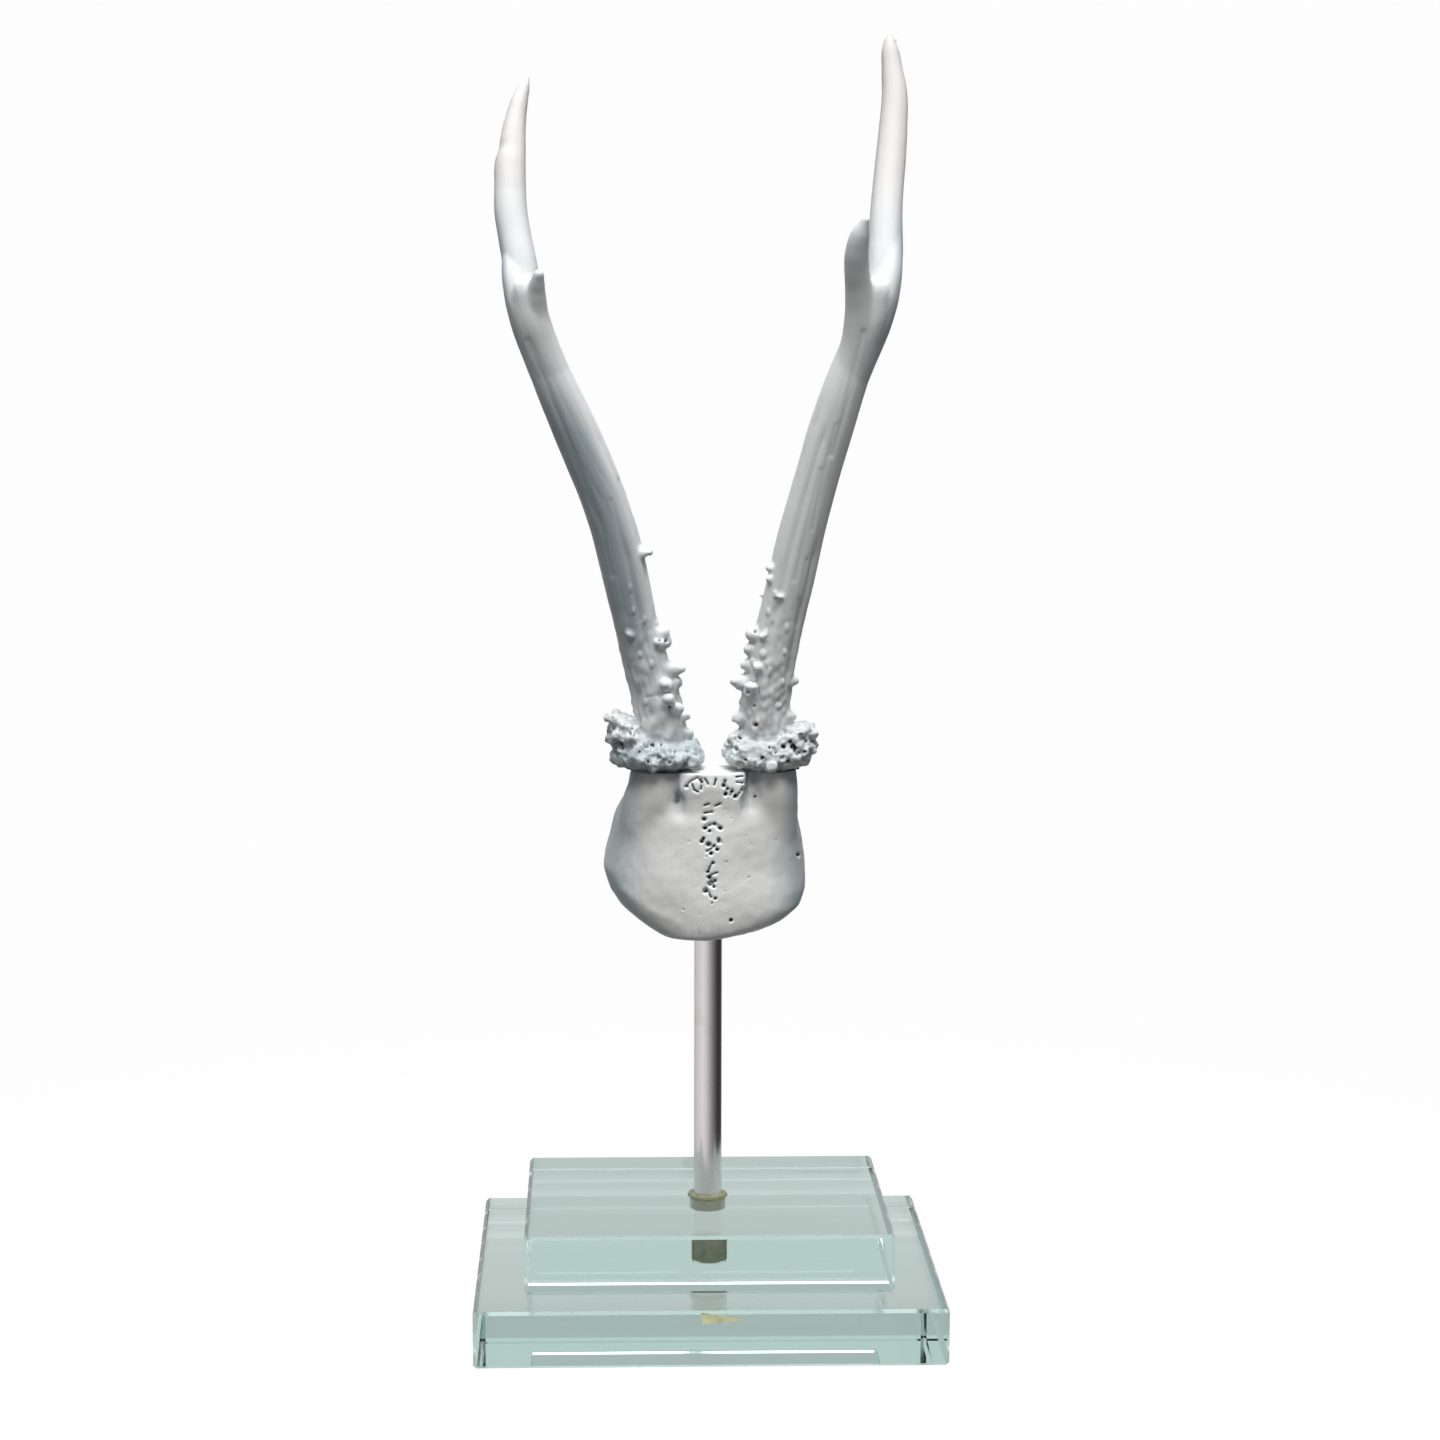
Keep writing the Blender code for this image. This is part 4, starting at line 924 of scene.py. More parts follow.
RIGHT_ANTLER = {
    "beam": RIGHT_BEAM, "tine": RIGHT_TINE, "saddle": RIGHT_SADDLE, "flank": RIGHT_FLANK,
    "pedicle": RIGHT_PEDICLE, "burr": RIGHT_BURR, "knobs": RIGHT_KNOBS, "furrows": RIGHT_FURROWS,
    "pits": RIGHT_PITS, "pearls": RIGHT_PEARLS, "grooves": RIGHT_GROOVES,
    # Patches of painted shade.
    "greyed": (
        (0, 400, 0.345, (0.41, 0.42), 0.43, 0.55), (0, 400, 0.330, (0.345, 0.39), 0.42, 0.24),
        (0, 400, 0.170, (0.175, 0.190), 0.200, 0.60),
        (60, 42, 0.300, (0.330, 0.352), 0.378, 0.80),
    ),
    "fray": (
        ((0.0592, 0.0120, 0.4120), (0.0585, 0.0130, 0.4172)),
        ((0.0600, 0.0120, 0.4120), (0.0617, 0.0140, 0.4166)),
    ),
}

for side, form in (("left", LEFT_ANTLER), ("right", RIGHT_ANTLER)):
    print(side, "antler:", {part: len(form[part]) for part in ("knobs", "pits", "pearls", "grooves")})

# %% Making an antler
ANTLER_VOXEL = 0.00044
ANTLER_SMOOTHING = 14
PEARLS_SUNK = 0.0010
FRAY_FOOT, FRAY_TIP = 0.0009, 0.0004
NEAR, WIDE = 5, 40


def antler_skin(form):
    """Beam, tine, burr, knobs and pearls as overlapping shapes, to be melted with a flat underside."""
    burr = form["burr"]
    rng = np.random.default_rng(burr["seed"])
    bm = bmesh.new()
    x, y, z, radius = form["pedicle"][-1]
    below, above = PEDICLE_TOP - 0.003, z + 0.003
    add_tube(bm, ((x, y, below, radius + 0.0016), (x, y, z, radius), (x, y, above, radius - 0.002)))
    for part in ("beam", "tine", "saddle", "flank"):
        add_tube(bm, form[part])
    add_front_knobs(bm, form["beam"], form["knobs"])
    add_back_knobs(bm, form["beam"], -burr["outer"], rng)
    add_burr(bm, burr, rng)
    for foot, tip in form["fray"]:
        add_knob(bm, Vector(foot), Vector(tip), FRAY_FOOT, FRAY_TIP, 6)
    under_skin = [(x, y, z, radius - PEARLS_SUNK) for x, y, z, radius in form["beam"][1:10]]
    pearls = add_pearls(
        bm, under_skin, Low=0.190, High=0.246, Spacing=0.0028, Crowding=60000.0,
        Smallest=0.0006, Largest=0.0012, Stretch=2.3, Seed=burr["seed"],
    )
    return mesh_of("antler", bm), pearls


def make_antler(name, node, form):
    """One antler, carved and painted. Glass doesn't show it, so that its lines of light stay whole."""
    mesh, pearls = antler_skin(form)
    antler = add_object(name, mesh)
    melt(antler, ANTLER_VOXEL, ANTLER_SMOOTHING)
    rng = np.random.default_rng(form["burr"]["seed"] + 100)
    skin = Skin(antler.data)
    carve_furrows(skin, form["beam"], form["furrows"])
    carve_grain(skin, form["beam"], rng)
    carve_crags(skin, form["burr"], rng)
    for x, z, half_width, half_height in form["pearls"]:
        skin.dome(x, z, half_width, half_height, 0.55 * half_width)
    skin.write()
    for path, half_width in form["grooves"]:
        skin.groove(path, 1.8 * half_width, 0.10 + 0.32 * half_width)
    for x, z, radius in form["pits"]:
        skin.pit(x, z, 1.1 * radius, 0.7 + 1.7 * radius)
    skin.write()
    flatten_foot(skin)
    skin.keep_depth("below", NEAR)
    skin.keep_depth("below_wide", WIDE)
    # Painted shade on the shaded flanks and round bands of the beam.
    skin.keep("greyed", painted_shade_patches(skin, form["beam"], form["greyed"]))
    finish_bone(antler, antler_paint)
    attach(antler, "root")
    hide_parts(node)
    antler.visible_transmission = False
    print(name, pearls, "pearls,", len(antler.data.polygons), "faces")


def flatten_foot(skin):
    """The underside of the burr rests flat, as the solid does."""
    low = skin.points[:, 2] < BURR_BOTTOM
    skin.points[low, 2] = BURR_BOTTOM
    skin.mesh.vertices.foreach_set("co", skin.points.astype(np.float32).ravel())
    skin.mesh.update()
    skin.read()


def finish_bone(obj, material):
    """Lifts a finished bone piece from its drawing height to its place over the base and paints it."""
    obj.data.transform(Matrix.Translation((0, 0, BONE_ZERO)))
    obj.data.materials.clear()
    obj.data.materials.append(material)
    obj.data.shade_smooth()


make_antler("painted_left_antler", "left_antler", LEFT_ANTLER)
make_antler("painted_right_antler", "right_antler", RIGHT_ANTLER)

# %% [markdown]
# ## The skull plate
#
# The piece of skull is the frontal bone with the two pedicles that carried the antlers. Behind, the
# hunter's saw opened the brain case along a sloping plane, and the eye sockets scoop out both lower
# sides. It is a loft through measured sections, melted with two pedicles and a dome, cut by Booleans
# while it is still coarse, and melted again finely so that the cut edges are a little worn.


# %% The shape of the skull plate
def add_frontal_bone(bm):
    """A loft through the sections of the skull: ovals with a bulging front and a squarer back."""
    rings = []
    for height, left, right, front, back, squareness in SKULL_SECTIONS:
        ring = []
        for k in range(SECTION_POINTS):
            turn = 2 * math.pi * k / SECTION_POINTS
            x = (left + right) / 2 - (right - left) / 2 * math.cos(turn)
            bulge = abs(math.sin(turn)) ** (squareness if math.sin(turn) > 0 else BACK_SQUARENESS)
            depth = front if math.sin(turn) > 0 else back
            ring.append(bm.verts.new((x, SECTION_WAIST_Y + (depth - SECTION_WAIST_Y) * bulge, height)))
        rings.append(ring)
    for low, high in zip(rings, rings[1:]):
        for k in range(SECTION_POINTS):
            n = (k + 1) % SECTION_POINTS
            bm.faces.new((low[k], low[n], high[n], high[k]))
    bm.faces.new(list(reversed(rings[0])))
    bm.faces.new(rings[-1])


def add_forehead_pad(bm):
    """The raised tablet of bone between the pedicles, narrower and flush at its foot."""
    corners = [
        bm.verts.new((x, y, height))
        for left, right, front, height in FOREHEAD_PAD
        for x in (left, right) for y in (front, FOREHEAD_PAD_BACK)
    ]
    bmesh.ops.convex_hull(bm, input=corners)


def cut(obj, bm):
    """Takes the cutter's shape away from the object."""
    bmesh.ops.recalc_face_normals(bm, faces=bm.faces)
    cutter = add_object("cutter", mesh_of("cutter", bm))
    boolean = obj.modifiers.new("cut", "BOOLEAN")
    boolean.object = cutter
    boolean.operation = "DIFFERENCE"
    boolean.solver = "EXACT"
    apply_modifiers(obj)
    bpy.data.objects.remove(cutter)


def ball(centre, radii):
    bm = bmesh.new()
    add_ball(bm, centre, radii, 4)
    return bm


def upright_cylinder(radius, low, high):
    bm = bmesh.new()
    place = Matrix.Translation((ROD_X, 0, (low + high) / 2))
    bmesh.ops.create_cone(
        bm, cap_ends=True, segments=64, radius1=radius, radius2=radius, depth=high - low, matrix=place
    )
    return bm


def behind_the_saw():
    """Everything behind the sloping plane of the saw cut."""
    (top_y, top_z), (bottom_y, bottom_z) = SAW_CUT_TOP, SAW_CUT_BOTTOM
    slope = (top_y - bottom_y) / (top_z - bottom_z)
    low, high, far, half_width = bottom_z - 0.01, top_z + 0.02, 0.08, 0.06
    edge = ((bottom_y - 0.01 * slope, low), (far, low), (far, high), (top_y + 0.02 * slope, high))
    bm = bmesh.new()
    for x in (-half_width, half_width):
        for y, z in edge:
            bm.verts.new((x, y, z))
    bmesh.ops.convex_hull(bm, input=bm.verts)
    return bm


def above_the_pedicles():
    bm = bmesh.new()
    place = Matrix.Translation((0, 0, PEDICLE_TOP + 0.01)) @ Matrix.Diagonal((0.1, 0.1, 0.02, 1))
    bmesh.ops.create_cube(bm, size=1.0, matrix=place)
    return bm


# %% The marks of the skull plate
SUTURE_PITS = (
    (-6.4, 174.6, 0.50), (-0.6, 163.7, 0.54), (-0.3, 160.7, 0.50), (2.8, 162.1, 0.40),
    (4.8, 160.7, 0.50), (1.2, 159.7, 0.40), (-1.3, 156.2, 0.50), (-0.8, 157.2, 0.40),
    (4.2, 157.0, 0.40), (4.4, 156.2, 0.50), (0.9, 155.2, 0.60), (2.7, 154.7, 0.34),
    (3.8, 153.5, 0.44), (1.7, 152.2, 0.50), (2.4, 149.0, 0.40), (0.7, 146.0, 0.40),
    (1.2, 144.3, 0.60), (1.7, 142.1, 0.74), (2.9, 143.0, 0.50), (2.7, 141.0, 0.40),
    (-0.1, 139.6, 0.60), (3.2, 137.1, 0.40), (-1.3, 176.1, 0.34), (5.9, 174.9, 0.44),
    (7.2, 173.7, 0.34), (6.5, 171.9, 0.44), (8.6, 172.7, 0.40), (9.8, 171.2, 0.54),
    (12.2, 173.4, 0.40), (8.4, 129.8, 0.40), (30.6, 151.7, 0.44),
)
SUTURE_LINES = (
    (((-6.4, 174.8), (-5.2, 176.2), (-2.8, 177.6), (-2.0, 176.7)), 0.34),
    (((-1.6, 177.1), (-1.3, 175.1), (-1.6, 173.7)), 0.34),
    (((-0.3, 177.1), (0.7, 175.4)), 0.26), (((3.3, 177.0), (2.8, 175.1)), 0.26),
    (((6.3, 176.4), (5.9, 174.7), (6.9, 173.7), (6.4, 171.7)), 0.34),
    (((8.6, 173.4), (8.2, 171.7)), 0.27), (((12.2, 174.0), (11.5, 172.4), (9.7, 171.0)), 0.27),
    (((9.9, 177.7), (12.2, 178.0)), 0.24), (((10.2, 176.0), (12.2, 175.7)), 0.24),
    (((-4.6, 175.4), (-3.9, 173.4), (-2.6, 172.7)), 0.24),
    (((-0.3, 160.7), (1.0, 161.6), (2.8, 162.1), (4.0, 161.0), (4.8, 160.7)), 0.40),
    (((0.4, 153.0), (1.7, 153.7), (2.7, 154.7)), 0.30),
    (((2.4, 149.0), (1.4, 147.7), (0.7, 146.0)), 0.24), (((1.2, 144.3), (2.0, 142.6)), 0.30),
    (((1.7, 145.0), (3.7, 145.7)), 0.24), (((0.1, 140.6), (1.7, 137.6)), 0.26),
    (((3.3, 168.1), (4.6, 168.7)), 0.27), (((-0.3, 168.2), (1.0, 168.7)), 0.24),
    (((-0.5, 165.7), (2.0, 166.1)), 0.24),
)
MIDDLE_SEAM = ((2.1, 137.3), (1.1, 131.6), (1.7, 124.8))
TEMPLE_RIDGE = ((-34.3, 149.6), (-28.2, 141.1), (-20.0, 134.0), (-9.7, 129.0))
FOREHEAD_DENTS = ((-8.6, 166.5), (15.2, 168.0))
# Small notches of the cut edges: x, y, height, and radius and depth in millimetres.
EDGE_NOTCHES = (
    (0.0313, 0.0020, 0.1555, 1.0, 0.8), (-0.0258, -0.0100, 0.1318, 0.9, 0.6),
    (0.0145, -0.0140, 0.1280, 1.6, 0.6), (-0.0160, -0.0140, 0.1268, 1.0, 0.5),
    (0.0205, -0.0120, 0.1290, 0.7, 0.5),
)
SKULL_SWELLINGS = ((0.14, 0.018, 14), (0.025, 0.005, 20), (0.008, 0.0018, 24))
SAWN_PORES, FINE_PORES = 240, 80
# Painted shade on the skull plate's sides: where it starts, how it blends in, and its strength.
SIDE_SHADE_FROM, SIDE_SHADE_BLEND, SIDE_SHADE = 0.35, 0.45, 0.72
print("skull plate:", len(SUTURE_PITS), "pits and", len(SUTURE_LINES), "suture lines")


# %% Making the skull plate
COARSE_VOXEL, COARSE_SMOOTHING = 0.0010, 10
SKULL_VOXEL, SKULL_SMOOTHING = 0.00051, 12
CHANNEL_RADIUS, CHANNEL_BOTTOM, ROD_CLEARANCE = 0.0064, 0.110, 0.0007
# The part of the front that is divided more finely: left, right, bottom, top, and how far forward.
FINE_LEFT, FINE_RIGHT, FINE_BOTTOM, FINE_TOP, FINE_BEFORE = -0.009, 0.0145, 0.134, 0.180, -0.004


def make_skull_plate():
    """The skull plate: melted coarsely, cut to its form, then melted finely and carved."""
    bm = bmesh.new()
    add_frontal_bone(bm)
    add_tube(bm, LEFT_PEDICLE)
    add_tube(bm, RIGHT_PEDICLE)
    add_forehead_pad(bm)
    add_ball(bm, VAULT_CENTRE, VAULT_RADII, 4)
    bmesh.ops.recalc_face_normals(bm, faces=bm.faces)
    skull = add_object("painted_skull_plate", mesh_of("skull", bm))
    melt(skull, COARSE_VOXEL, COARSE_SMOOTHING)
    for side in (-1, 1):
        x, y, z = ORBIT_CENTRE
        cut(skull, ball((side * x, y, z), ORBIT_RADII))
    cut(skull, ball(BRAIN_CENTRE, BRAIN_RADII))
    cut(skull, behind_the_saw())
    middle, bore_top = BRAIN_CENTRE[2], ROD_TOP - BONE_ZERO + ROD_CLEARANCE
    cut(skull, upright_cylinder(CHANNEL_RADIUS, CHANNEL_BOTTOM, middle))
    cut(skull, upright_cylinder(ROD_RADIUS + ROD_CLEARANCE, middle - 0.01, bore_top))
    cut(skull, above_the_pedicles())
    melt(skull, SKULL_VOXEL, SKULL_SMOOTHING)
    refine_front(skull)
    carve_skull(Skin(skull.data))
    finish_bone(skull, skull_paint)
    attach(skull, "root")
    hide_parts("skull_plate")
    skull.visible_transmission = False
    print(skull.name, len(skull.data.polygons), "faces")


def refine_front(skull):
    """Quarters the faces round the seam of the frontal bones, where the finest marks are."""
    bm = bmesh.new()
    bm.from_mesh(skull.data)
    edges = set()
    for face in bm.faces:
        x, y, z = face.calc_center_median()
        if y < FINE_BEFORE and FINE_LEFT < x < FINE_RIGHT and FINE_BOTTOM < z < FINE_TOP:
            edges.update(face.edges)
    bmesh.ops.subdivide_edges(bm, edges=list(edges), cuts=1, use_grid_fill=True)
    bm.to_mesh(skull.data)
    bm.free()


def carve_skull(skin):
    """Seams, pits, temple ridges and the open pores of the sawn bone."""
    rng = np.random.default_rng(31)
    skin.push += swellings(skin.points, SKULL_SWELLINGS, rng)
    skin.groove(TEMPLE_RIDGE, 1.8, -0.22)
    for x, z in FOREHEAD_DENTS:
        skin.groove(((x, z), (x, z + 3.0)), 2.6, 0.9)
    for x, y, z, radius, depth in EDGE_NOTCHES:
        skin.hole(np.array((x, y, z)), radius * MM, depth)
    (top_y, top_z), (bottom_y, bottom_z) = SAW_CUT_TOP, SAW_CUT_BOTTOM
    saw = bottom_y + (skin.points[:, 2] - bottom_z) * (top_y - bottom_y) / (top_z - bottom_z)
    sawn = (np.abs(skin.points[:, 1] - saw) < 0.0006) & (skin.normals[:, 1] > 0.7)
    skin.push[sawn] = 0.05 * np.sin(skin.points[sawn, 2] / MM * 6.0)
    skin.push[sawn] += 0.03 * rng.normal(size=sawn.sum())
    for index in rng.choice(np.flatnonzero(sawn), SAWN_PORES, replace=False):
        size = rng.uniform(0.4, 1.0)
        skin.hole(skin.points[index], size * MM, size * rng.uniform(0.5, 1.2))
    outside = np.flatnonzero((skin.normals[:, 1] < 0.2) & (skin.points[:, 2] < 0.176))
    for index in rng.choice(outside, FINE_PORES, replace=False):
        size = rng.uniform(0.25, 0.45)
        skin.hole(skin.points[index], size * MM, size * rng.uniform(0.2, 0.6))
    skin.write()
    for path, half_width in SUTURE_LINES:
        skin.groove(path, 1.5 * half_width, 0.8)
    skin.groove(MIDDLE_SEAM, 0.5, 0.12)
    for x, z, radius in SUTURE_PITS:
        skin.pit(x, z, 1.4 * radius, 0.6 + 1.5 * radius)
    skin.write()
    skin.keep_depth("below", NEAR)
    skin.keep_depth("below_wide", WIDE)
    # Painted shade where the surface of the skull plate turns to the left or right.
    sideways = np.clip((np.abs(skin.normals[:, 0]) - SIDE_SHADE_FROM) / SIDE_SHADE_BLEND, 0, 1)
    skin.keep("greyed", SIDE_SHADE * sideways)


make_skull_plate()

# %% [markdown]
# ## The rod and its glue
#
# A nickel-plated bar, about 9 mm thick, stands in a blind hole. It was drawn through a die, so faint
# lines run along it, and its ends have a small chamfer. The glue filled the gap in the hole, squeezed
# up in a low bead round the foot and has yellowed. Both are turned shapes: a profile that is spun
# about the rod's axis.


# %% Turned pieces
TURNED_STEPS = 96


def turned(name, profile, material):
    """A closed piece from a profile of (radius, height) pairs, turned about the rod's axis."""
    bm = bmesh.new()
    rings = []
    for radius, height in profile:
        if radius == 0.0:
            rings.append([bm.verts.new((ROD_X, 0.0, height))])
            continue
        rings.append([
            bm.verts.new((ROD_X + radius * math.cos(a), radius * math.sin(a), height))
            for a in (2 * math.pi * k / TURNED_STEPS for k in range(TURNED_STEPS))
        ])
    for low, high in zip(rings, rings[1:]):
        if len(low) == len(high) == 1:
            continue
        for k in range(TURNED_STEPS):
            n = (k + 1) % TURNED_STEPS
            corners = (low[k % len(low)], low[n % len(low)], high[n % len(high)], high[k % len(high)])
            bm.faces.new(list(dict.fromkeys(corners)))
    bmesh.ops.remove_doubles(bm, verts=bm.verts, dist=1e-8)
    bmesh.ops.recalc_face_normals(bm, faces=bm.faces)
    obj = add_object(name, mesh_of(name, bm), material)
    obj.data.shade_smooth()
    obj.data.set_sharp_from_angle(angle=math.radians(40))
    return obj


# %% The finish of the rod
def nickel_finish():
    material, nodes, place = new_material("polished_nickel")
    lines = nodes.noise(nodes.stretched(place, (5200.0, 5200.0, 40.0)), 1.0, 3.0, 0.6)
    smudge = nodes.noise(place, 160.0, 4.0, 0.6)
    specks = nodes.noise(place, 1400.0, 2.0, 0.5)
    tarnish = smudge.over(0.52, 0.74)
    colour = nodes.mix(tarnish * 0.35, (0.78, 0.735, 0.745), (0.64, 0.585, 0.575))
    colour = nodes.mix(specks.over(0.70, 0.78) * 0.5, colour, (0.36, 0.31, 0.30))
    rough = 0.15 + lines * 0.05 + tarnish * 0.06
    bump = nodes.bump(0.08, 0.00005, lines * 0.6 + specks * 0.2)
    nodes.paint({"Base Color": colour, "Roughness": rough, "Metallic": 1.0, "Normal": bump})
    return material


# The rod starts above a plug of glue 1 mm thick, which the solids set between two narrow gaps.
GLUE_PLUG = 0.0010
ROD_BOTTOM = UPPER_TOP - HOLE_DEPTH + SLAB_GAP + GLUE_PLUG + SLAB_GAP
rod = turned(
    "polished_rod",
    [
        (0.0, ROD_TOP), (ROD_RADIUS - ROD_CHAMFER, ROD_TOP), (ROD_RADIUS, ROD_TOP - ROD_CHAMFER),
        (ROD_RADIUS, 0.140), (ROD_RADIUS, 0.100), (ROD_RADIUS, 0.060),
        (ROD_RADIUS, ROD_BOTTOM + ROD_CHAMFER), (ROD_RADIUS - ROD_CHAMFER, ROD_BOTTOM), (0.0, ROD_BOTTOM),
    ],
    nickel_finish(),
)
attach(rod, "root")
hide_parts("rod")
print(rod.name, "from", round(ROD_BOTTOM, 4), "to", ROD_TOP)


# %% The glue
def glue_finish():
    material, nodes, place = new_material("yellowed_glue")
    cloud = nodes.noise(place, 420.0, 4.0, 0.6)
    bubbles = nodes.node("ShaderNodeTexVoronoi", {}, {"Vector": place, "Scale": 900.0}, "Distance")
    colour = nodes.mix(cloud.over(0.3, 0.7), (0.17, 0.175, 0.095), (0.25, 0.255, 0.165))
    colour = nodes.mix((1 - bubbles.over(0.06, 0.16)) * 0.6, colour, (0.40, 0.40, 0.29))
    rough = 0.28 + cloud * 0.15
    bump = nodes.bump(0.3, 0.0002, cloud * 0.7 + bubbles * 0.3)
    nodes.paint({"Base Color": colour, "Roughness": rough, "Normal": bump, "IOR": 1.5})
    return material


# The glue wets the wall of the hole, so it reaches a hair into the glass.
GLUE_WETS = 0.00005
GLUE_BOTTOM, GLUE_REACH = UPPER_TOP - HOLE_DEPTH - GLUE_WETS, HOLE_RADIUS + GLUE_WETS
BEAD_REACH = HOLE_RADIUS + 0.0008
GLUE_SWELLINGS = ((0.09, 0.005, 12),)
glue = turned(
    "set_glue",
    [
        (ROD_RADIUS + 0.00002, UPPER_TOP + 0.0014), (ROD_RADIUS + 0.0005, UPPER_TOP + 0.00128),
        (ROD_RADIUS + 0.0011, UPPER_TOP + 0.0010), (ROD_RADIUS + 0.0017, UPPER_TOP + 0.00072),
        (BEAD_REACH - 0.0002, UPPER_TOP + 0.00045), (BEAD_REACH, UPPER_TOP + 0.00018),
        (BEAD_REACH - 0.0001, UPPER_TOP - 0.00002), (GLUE_REACH, UPPER_TOP - 0.00002),
        (GLUE_REACH, GLUE_BOTTOM + 0.0008), (GLUE_REACH - 0.0003, GLUE_BOTTOM + 0.0003),
        (GLUE_REACH - 0.0009, GLUE_BOTTOM), (0.0, GLUE_BOTTOM),
        (0.0, ROD_BOTTOM - 0.0001), (ROD_RADIUS + 0.00002, ROD_BOTTOM - 0.0001),
        (ROD_RADIUS + 0.00002, UPPER_TOP + 0.0014),
    ],
    glue_finish(),
)
glue_skin = Skin(glue.data)
glue_rng = np.random.default_rng(4)
above_glass = glue_skin.points[:, 2] > UPPER_TOP
beyond_rod = np.hypot(glue_skin.points[:, 0] - ROD_X, glue_skin.points[:, 1]) > ROD_RADIUS + 0.0003
bead = above_glass & beyond_rod
glue_skin.push += swellings(glue_skin.points, GLUE_SWELLINGS, glue_rng) * bead
glue_skin.write()
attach(glue, "root")
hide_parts("rod_glue")
print(glue.name, len(glue.data.polygons), "faces")

# %% [markdown]
# ## The glass base
#
# Each slab is float glass with a faint green cast, its faces polished and its edges taken off with a
# narrow arris, which is why they show as pale lines. The body colour comes from a volume that absorbs
# a little red, so long views are greener than short ones. The slabs are joined with a clear adhesive
# that bends light as glass does: no mirror shows at the joint. So the faces that meet there are
# marked, and the one material lets light straight through them and bends it at all others.

# %% The glass
GLASS_BODY = {"Color": (0.0, 0.60, 0.50, 1.0), "Density": 2.6}


def clear_glass():
    """Green glass with faint smears, finely ground arrises and joint faces that don't show."""
    material, nodes, place = new_material("clear_green_glass")
    ground, bonded = nodes.attribute("ground"), nodes.attribute("bonded")
    grit = nodes.noise(place, 1800.0, 3.0, 0.6)
    smear = nodes.noise(nodes.stretched(place, (50.0, 22.0, 50.0)), 1.0, 4.0, 0.6)
    rough = ground * (0.04 + grit * 0.10) + smear.over(0.55, 0.85) * 0.03
    open_face = nodes.node("ShaderNodeBsdfPrincipled", {}, {
        "Base Color": (1.0, 1.0, 1.0, 1.0), "Roughness": rough,
        "Normal": nodes.bump(0.15, 0.0001, ground * grit),
        "Transmission Weight": 1.0, "IOR": 1.52,
    })
    joint_face = nodes.node("ShaderNodeBsdfPrincipled", {}, {
        "Base Color": (1.0, 1.0, 1.0, 1.0), "Roughness": 0.0, "Transmission Weight": 1.0, "IOR": 1.0,
    })
    surface = nodes.node("ShaderNodeMixShader", {}, {0: bonded, 1: open_face, 2: joint_face})
    body = nodes.node("ShaderNodeVolumeAbsorption", {}, GLASS_BODY)
    nodes.node("ShaderNodeOutputMaterial", {}, {"Surface": surface, "Volume": body})
    return material


glass = clear_glass()
print(glass.name)


# %% The slabs
# Half the width and depth of the bonded area.
BOND = (UPPER_SLAB[0] / 2 - ARRIS, UPPER_SLAB[1] / 2 - ARRIS)
JOINT_WITHIN = 1e-5


def make_slab(name, node, size, bottom, joint, hole=None):
    """A slab with arrises along all its edges, a joint at one height and perhaps a drilled hole."""
    bm = bmesh.new()
    place = Matrix.Translation((0, 0, bottom + size[2] / 2)) @ Matrix.Diagonal((*size, 1.0))
    bmesh.ops.create_cube(bm, size=1.0, matrix=place)
    bmesh.ops.bevel(bm, geom=bm.edges[:], offset=ARRIS, segments=1, profile=0.5, affect="EDGES")
    for axis, half in enumerate(BOND):
        for side in (-half, half):
            normal = [0.0, 0.0, 0.0]
            normal[axis] = 1.0
            face_plane = [part * side for part in normal]
            near_joint = [
                face for face in bm.faces
                if abs(face.calc_center_median().z - joint) < JOINT_WITHIN
            ]
            edges = {edge for face in near_joint for edge in face.edges}
            verts = {vert for face in near_joint for vert in face.verts}
            bmesh.ops.bisect_plane(
                bm, geom=near_joint + list(edges) + list(verts), plane_co=face_plane,
                plane_no=normal, dist=1e-7,
            )
    slab = add_object(name, mesh_of(name, bm))
    if hole:
        cut(slab, upright_cylinder(*hole))
    slab.data.materials.clear()
    slab.data.materials.append(glass)
    ground, bonded = [], []
    for face in slab.data.polygons:
        flat = max(abs(component) for component in face.normal) > 0.999
        inside = hole and math.hypot(face.center.x - ROD_X, face.center.y) < HOLE_RADIUS * 1.01
        ground.append(0.0 if flat and not inside else 1.0)
        at_joint = abs(face.center.z - joint) < JOINT_WITHIN
        within = abs(face.center.x) < BOND[0] and abs(face.center.y) < BOND[1]
        bonded.append(float(at_joint and within))
    slab.data.attributes.new("ground", "FLOAT", "FACE").data.foreach_set("value", ground)
    slab.data.attributes.new("bonded", "FLOAT", "FACE").data.foreach_set("value", bonded)
    slab.visible_shadow = False
    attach(slab, "root")
    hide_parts(node)
    print(name, len(slab.data.polygons), "faces,", int(sum(bonded)), "bonded")


make_slab("lower_glass", "lower_glass_slab", LOWER_SLAB, 0.0, LOWER_SLAB[2])
make_slab(
    "upper_glass", "upper_glass_slab", UPPER_SLAB, UPPER_BOTTOM, UPPER_BOTTOM,
    (HOLE_RADIUS, UPPER_TOP - HOLE_DEPTH, UPPER_TOP + 0.004),
)

# %% [markdown]
# ## A fleck of dried adhesive
#
# Just behind the front face of the lower slab sits a small pale flake of adhesive, left from the day
# the slabs were joined. It is a thin sheet with a ragged outline, given as x and height.

# %% The fleck behind the front face
FLECK_OUTLINE = metres((
    (-35, 181), (-18, 179), (7, 175), (33, 172), (55, 167), (80, 163), (111, 161), (105, 156),
    (77, 152), (48, 148), (23, 147), (1, 144), (-27, 143), (-33, 160),
))
FLECK_FRONT, FLECK_BACK = -0.06345, -0.06337


